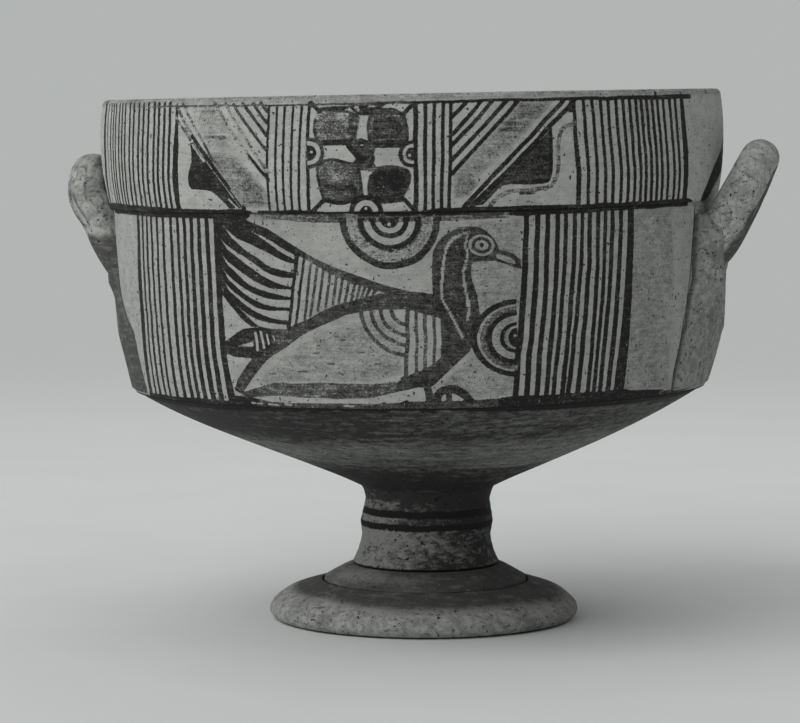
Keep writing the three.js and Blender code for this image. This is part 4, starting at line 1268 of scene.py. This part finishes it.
def loop_handle(side, material):
    """A round coil along the line of a handle, with its roots sunk in the wall and painted shade along its
    underside.
    """
    line = handle_line(side)
    radii = coil_radius(len(line))
    rings, sides = len(line), COIL_SIDES
    tangent = np.gradient(line, axis=0)
    tangent /= np.linalg.norm(tangent, axis=1)[:, None]
    normal = np.cross(tangent[0], (0, 0, 1))
    normals = []
    for direction in tangent:
        normal = normal - direction * normal.dot(direction)
        normal /= np.linalg.norm(normal)
        normals.append(normal)
    normals = np.array(normals)
    across = np.cross(tangent, normals)
    angle = np.linspace(0, 2 * math.pi, sides, endpoint=False)
    along = np.arange(rings)[:, None] * COIL_STEP
    seed = 91 if side == "right" else 97
    lumps = 0.5 * mottle(angle / math.pi * 3 + 0 * along, along / 9, seed, 6)
    dents = 0.18 * mottle(angle / math.pi * 10 + 0 * along, along / 3, seed + 1, 20)
    radius = radii[:, None] - lumps - dents
    points = (line[:, None] + normals[:, None] * (radius * np.cos(angle))[..., None]
              + across[:, None] * (radius * np.sin(angle))[..., None]).reshape(-1, 3)
    points = keep_outside(points)
    quads = grid_faces(rings, sides, closed_up=True)[:, [0, 3, 2, 1]]
    ends = [points[ring * sides:(ring + 1) * sides].mean(axis=0) for ring in (0, rings - 1)]
    centre = len(points)
    points = keep_outside(np.concatenate([points, ends]))
    step = np.arange(sides)
    last = (rings - 1) * sides
    triangles = np.concatenate([
        np.stack([np.full(sides, centre), (step + 1) % sides, step], -1),
        np.stack([np.full(sides, centre + 1), last + step, last + (step + 1) % sides], -1),
    ])
    if side == "left":
        points = points * (-1, -1, 1)
    mesh = make_mesh(f"handle_{side}", points, quads, triangles)
    height = points[:, 2]
    below = np.append(np.repeat(line[:, 2], sides), [0, 0]) - height
    from_end = np.minimum(np.arange(rings), rings - 1 - np.arange(rings))
    from_end = np.append(np.repeat(from_end, sides), [0, 0])
    rough = 2.4 * mottle(np.arange(len(points)) % sides / 2, height / 5, seed + 2, 20) - 1.2
    # Painted shade, with some dark paint: the coil is darkened along its underside, fading out near its ends.
    underside_shade = progress(below, 2.5, 2) * progress(from_end, 7, 6)
    shade = np.maximum(-1.9 + rough, 3 * underside_shade - 1.5 + 0.4 * rough)
    pitted = progress(points[:, 1], 2, -6) * np.clip(0.85 - np.abs(height - OFFSET + 4) / 26, 0, 1)
    if side == "left":
        shade = np.maximum(shade, 2.4 * progress(OFFSET - 11 + 1.5 * rough, height, 3) - 1.2)
        shade = np.maximum(shade, 0.7 - np.abs(rough) * 5)
        pitted = 0.4 * pitted
    add_piece(mesh, f"handle_{side}", "clay", material, ink=np.clip(shade, -REACH, REACH), pitted=pitted)


def pad_reach(z):
    """Half width of a pad at a height: narrow between the roots and spread below them."""
    flare_top = OFFSET - ROOT_DROP - 6
    return 25 + 11 * progress(z, flare_top, -26.6)


def round_wall(radius, angle, level):
    """Points at a radius, height and angle round the pot, where angle 0 is the handle's middle."""
    return np.stack([radius * np.cos(angle), radius * np.sin(angle), level], -1)


def handle_pad(side, material):
    """Clay smeared over the roots of a handle and down to the turn, drawn up to the coils."""
    line = handle_line(side)
    radii = coil_radius(len(line))
    rows = np.linspace(TURN + 1, OFFSET - 5, PAD_ROWS)
    across, level = np.meshgrid(np.linspace(-1, 1, PAD_COLUMNS), rows, indexing="ij")
    seed = 101 if side == "right" else 107
    near = -across if side == "right" else across
    if side == "right":
        front = HALF_ROUND / 2 - crack_place(level)
    else:
        front = np.interp(level, *zip(*LEFT_PAD_EDGE))
    reach = np.where(near > 0, front, pad_reach(level))
    reach = reach - 1.6 * mottle(np.sign(across) * 3 + 8, level / 6, seed)
    angle = across * reach / wall_radius(level)
    rise = (level - rows[0]) / (rows[-1] - rows[0])
    thinning = np.where((near > 0) & (side == "right"), 1.6, 4)
    body = (1 - np.abs(across) ** thinning) * np.minimum(1, 3.2 * rise)
    thickness = 0.75 + (PAD_THICKNESS[side] - 0.9) * body
    thickness = thickness - 0.5 * mottle(across * 9 + 20, level / 9, seed + 1) * body
    thickness = thickness - 0.25 * mottle(across * 30 + 40, level / 3, seed + 2) * body
    ridge = np.exp(-((np.abs(across) * reach - ARM_SPREAD - 8 * (1 - rise)) / 8) ** 2)
    full = progress(near * reach, 26, 5) if side == "right" else 0
    thickness = thickness + 1.2 * full * ridge * np.clip(rise * 1.6 - 0.2, 0, 1) * body
    radius = wall_radius(level) + thickness
    points = round_wall(radius, angle, level)
    gap = np.full(across.shape, 1e3)
    for place, size in zip(line, radii):
        gap = np.minimum(gap, np.linalg.norm(points - place, axis=-1) - size)
    fillet = 4 + 11 * full
    lift = np.clip(fillet - np.maximum(gap, 0), 0, fillet) ** 2 / (2 * fillet)
    radius = radius + lift * progress(level, rows[-1], -6) * np.clip((1 - np.abs(across)) * 7, 0, 1)
    edge = np.minimum(1, np.minimum((1 - np.abs(across)) * 18, (rows[-1] + 0.2 - level) / 1.2))
    radius = wall_radius(level) + (radius - wall_radius(level)) * np.sqrt(np.clip(edge, 0, 1))
    outer = round_wall(radius - 0.12 * (edge <= 0), angle, level)
    inner = round_wall(wall_radius(level) - 1.4, angle, level)
    columns, levels = across.shape
    points = np.concatenate([outer.reshape(-1, 3), inner.reshape(-1, 3)])
    count = columns * levels
    face = grid_faces(columns, levels)
    left = np.arange(levels - 1)
    right = left + (columns - 1) * levels
    low = np.arange(columns - 1) * levels
    high = low + levels - 1
    sides = [
        np.stack([left, left + 1, left + 1 + count, left + count], -1),
        np.stack([right + 1, right, right + count, right + 1 + count], -1),
        np.stack([low + levels, low, low + count, low + levels + count], -1),
        np.stack([high, high + levels, high + levels + count, high + count], -1),
    ]
    quads = np.concatenate([face, face[:, ::-1] + count, *sides])
    if side == "left":
        points = points * (-1, -1, 1)
    mesh = make_mesh(f"handle_pad_{side}", points, quads)
    seam = 1.2 - np.minimum((1 - np.abs(across)) * reach, 30)
    darkening = 3.4 * mottle(across * 5 + 10, level / 16, seed + 5) - 3.4
    if side == "left":
        darkening = darkening + (3.5 - 1.2 * rise) * np.clip(3 * near, 0, 1)
    ink = np.clip(np.maximum(seam, np.minimum(darkening, 1.3)), -REACH, REACH)
    pitted = np.clip(1 - np.abs(np.abs(across) - 0.87) * 14, 0, 0.9)
    add_piece(mesh, f"handle_pad_{side}", "clay", material, ink=[ink, ink], pitted=[pitted, pitted])


# Surroundings

BACKGROUND = (0.445, 0.463, 0.451, 1)
FLOOR_RADIUS = 12
FLOOR_SIDES = 96

# Name, strength, spread, direction to the right of the front, and height, with the angles in degrees
LIGHTS = (("key", 1.56, 78, -43, 28), ("top", 0.62, 120, 0, 88), ("back", 0.7, 110, -130, 45))
EVEN_LIGHT = 0.1

# The photograph's view: angles in degrees, the lens in millimetres and the rest in metres
CAMERA_TURN = 8.5
CAMERA_PITCH = 4.6
CAMERA_LENS = 149.5
CAMERA_DISTANCE = 1.4
CAMERA_HEIGHT = 0.221
CAMERA_ASIDE = -0.0092


def seen_directly(tree):
    """1 for rays that see a surface for the camera, also in a reflection or through something clear."""
    path = tree.nodes.new("ShaderNodeLightPath")
    seen = path.outputs["Is Camera Ray"]
    for kind in ("Is Glossy Ray", "Is Transmission Ray"):
        either = tree.nodes.new("ShaderNodeMath")
        either.operation = "MAXIMUM"
        tree.links.new(seen, either.inputs[0])
        tree.links.new(path.outputs[kind], either.inputs[1])
        seen = either.outputs[0]
    return seen


def output_mix(tree, share, first, second, output):
    """Send two shaders to an output, mixed by the second one's share."""
    blend = tree.nodes.new("ShaderNodeMixShader")
    for socket, source in zip(blend.inputs, (share, first, second)):
        tree.links.new(source, socket)
    tree.links.new(blend.outputs[0], tree.nodes[output].inputs["Surface"])


def add_floor():
    """A plain pale floor that fades into the background far away."""
    mesh = bpy.data.meshes.new("floor")
    angles = np.linspace(0, 2 * math.pi, FLOOR_SIDES, endpoint=False)
    ring = [(FLOOR_RADIUS * math.cos(a), FLOOR_RADIUS * math.sin(a), 0) for a in angles]
    mesh.from_pydata(ring, [], [list(range(FLOOR_SIDES))])
    floor = bpy.data.objects.new("floor", mesh)
    bpy.context.scene.collection.objects.link(floor)
    finish = Finish("floor_paper")
    distance = finish.add("ShaderNodeVectorMath", operation="LENGTH")
    finish.put(distance.inputs[0], finish.place)
    far = finish.ramp(distance.outputs["Value"], 0.4, 1.5)
    glow = finish.add("ShaderNodeEmission")
    glow.inputs["Color"].default_value = BACKGROUND
    tone = finish.ramp(finish.noise(70, 4, shift=3), 0.3, 0.7)
    colour = finish.mix(tone, (0.77, 0.797, 0.78, 1), (0.79, 0.817, 0.8, 1))
    finish.put(finish.shader.inputs["Base Color"], colour)
    finish.shader.inputs["Roughness"].default_value = 0.95
    finish.shader.inputs["Specular IOR Level"].default_value = 0.1
    output_mix(finish.tree, finish.math("MULTIPLY", far, seen_directly(finish.tree)),
               finish.shader.outputs[0], glow.outputs[0], "Material Output")
    mesh.materials.append(finish.material)


def add_lights():
    """A soft low key light from the front left, with broad ones from above and from the back left."""
    for name, strength, spread, turn, rise in LIGHTS:
        data = bpy.data.lights.new(name, "SUN")
        data.energy = strength
        data.angle = math.radians(spread)
        lamp = bpy.data.objects.new(name, data)
        bpy.context.scene.collection.objects.link(lamp)
        turn, rise = math.radians(turn), math.radians(rise)
        towards = Vector((math.sin(turn) * math.cos(rise), -math.cos(turn) * math.cos(rise), math.sin(rise)))
        lamp.rotation_mode = "QUATERNION"
        lamp.rotation_quaternion = towards.to_track_quat("Z", "Y")


def add_world():
    """Faint even light from all round, with the print's grey where the world itself is seen."""
    world = bpy.data.worlds.new("surroundings")
    bpy.context.scene.world = world
    world.use_nodes = True
    tree = world.node_tree
    even_light = tree.nodes["Background"]
    even_light.inputs["Color"].default_value = (1, 1, 1, 1)
    even_light.inputs["Strength"].default_value = EVEN_LIGHT
    shown = tree.nodes.new("ShaderNodeBackground")
    shown.inputs["Color"].default_value = BACKGROUND
    output_mix(tree, seen_directly(tree), even_light.outputs[0], shown.outputs[0], "World Output")


def add_camera():
    """The photograph's view: a long lens, a little to the right and level with the rim."""
    data = bpy.data.cameras.new("camera")
    data.sensor_width = 36
    data.lens = CAMERA_LENS
    data.clip_start, data.clip_end = 0.05, 60
    camera = bpy.data.objects.new("camera", data)
    bpy.context.scene.collection.objects.link(camera)
    turn, pitch = math.radians(CAMERA_TURN), math.radians(CAMERA_PITCH)
    right = Vector((math.cos(turn), math.sin(turn), 0))
    back = Vector((math.sin(turn), -math.cos(turn), 0))
    camera.location = back * CAMERA_DISTANCE + right * CAMERA_ASIDE + Vector((0, 0, CAMERA_HEIGHT))
    look = -back * math.cos(pitch) - Vector((0, 0, math.sin(pitch)))
    camera.rotation_mode = "QUATERNION"
    camera.rotation_quaternion = look.to_track_quat("-Z", "Y")
    bpy.context.scene.camera = camera


def build_pot():
    """All the pieces, each with its own finish."""
    bowl_wall(painted_slip("wall_slip", 1))
    # The band's slip is paler than the wall's, partly real and partly painted light on the band.
    rim_band(painted_slip("band_slip", 1.15))
    bowl_floor(dark_paint("underside_paint", (9, 9, 0.5), 2.4))
    stem_paint = dark_paint("stem_paint", (1.6, 1.6, 1), 4)
    stem(stem_paint)
    stem_collar(stem_paint)
    foot_disc(bare_clay("foot_clay", 2, 1.12))
    foot_collar(bare_clay("collar_clay", 12))
    for side, seed in (("right", 22), ("left", 32)):
        loop_handle(side, bare_clay(f"coil_clay_{side}", seed, 1.5))
        handle_pad(side, bare_clay(f"pad_clay_{side}", seed + 3, 1.1))


bpy.context.scene.view_settings.view_transform = "Standard"
build_pot()
add_floor()
add_lights()
add_world()
add_camera()
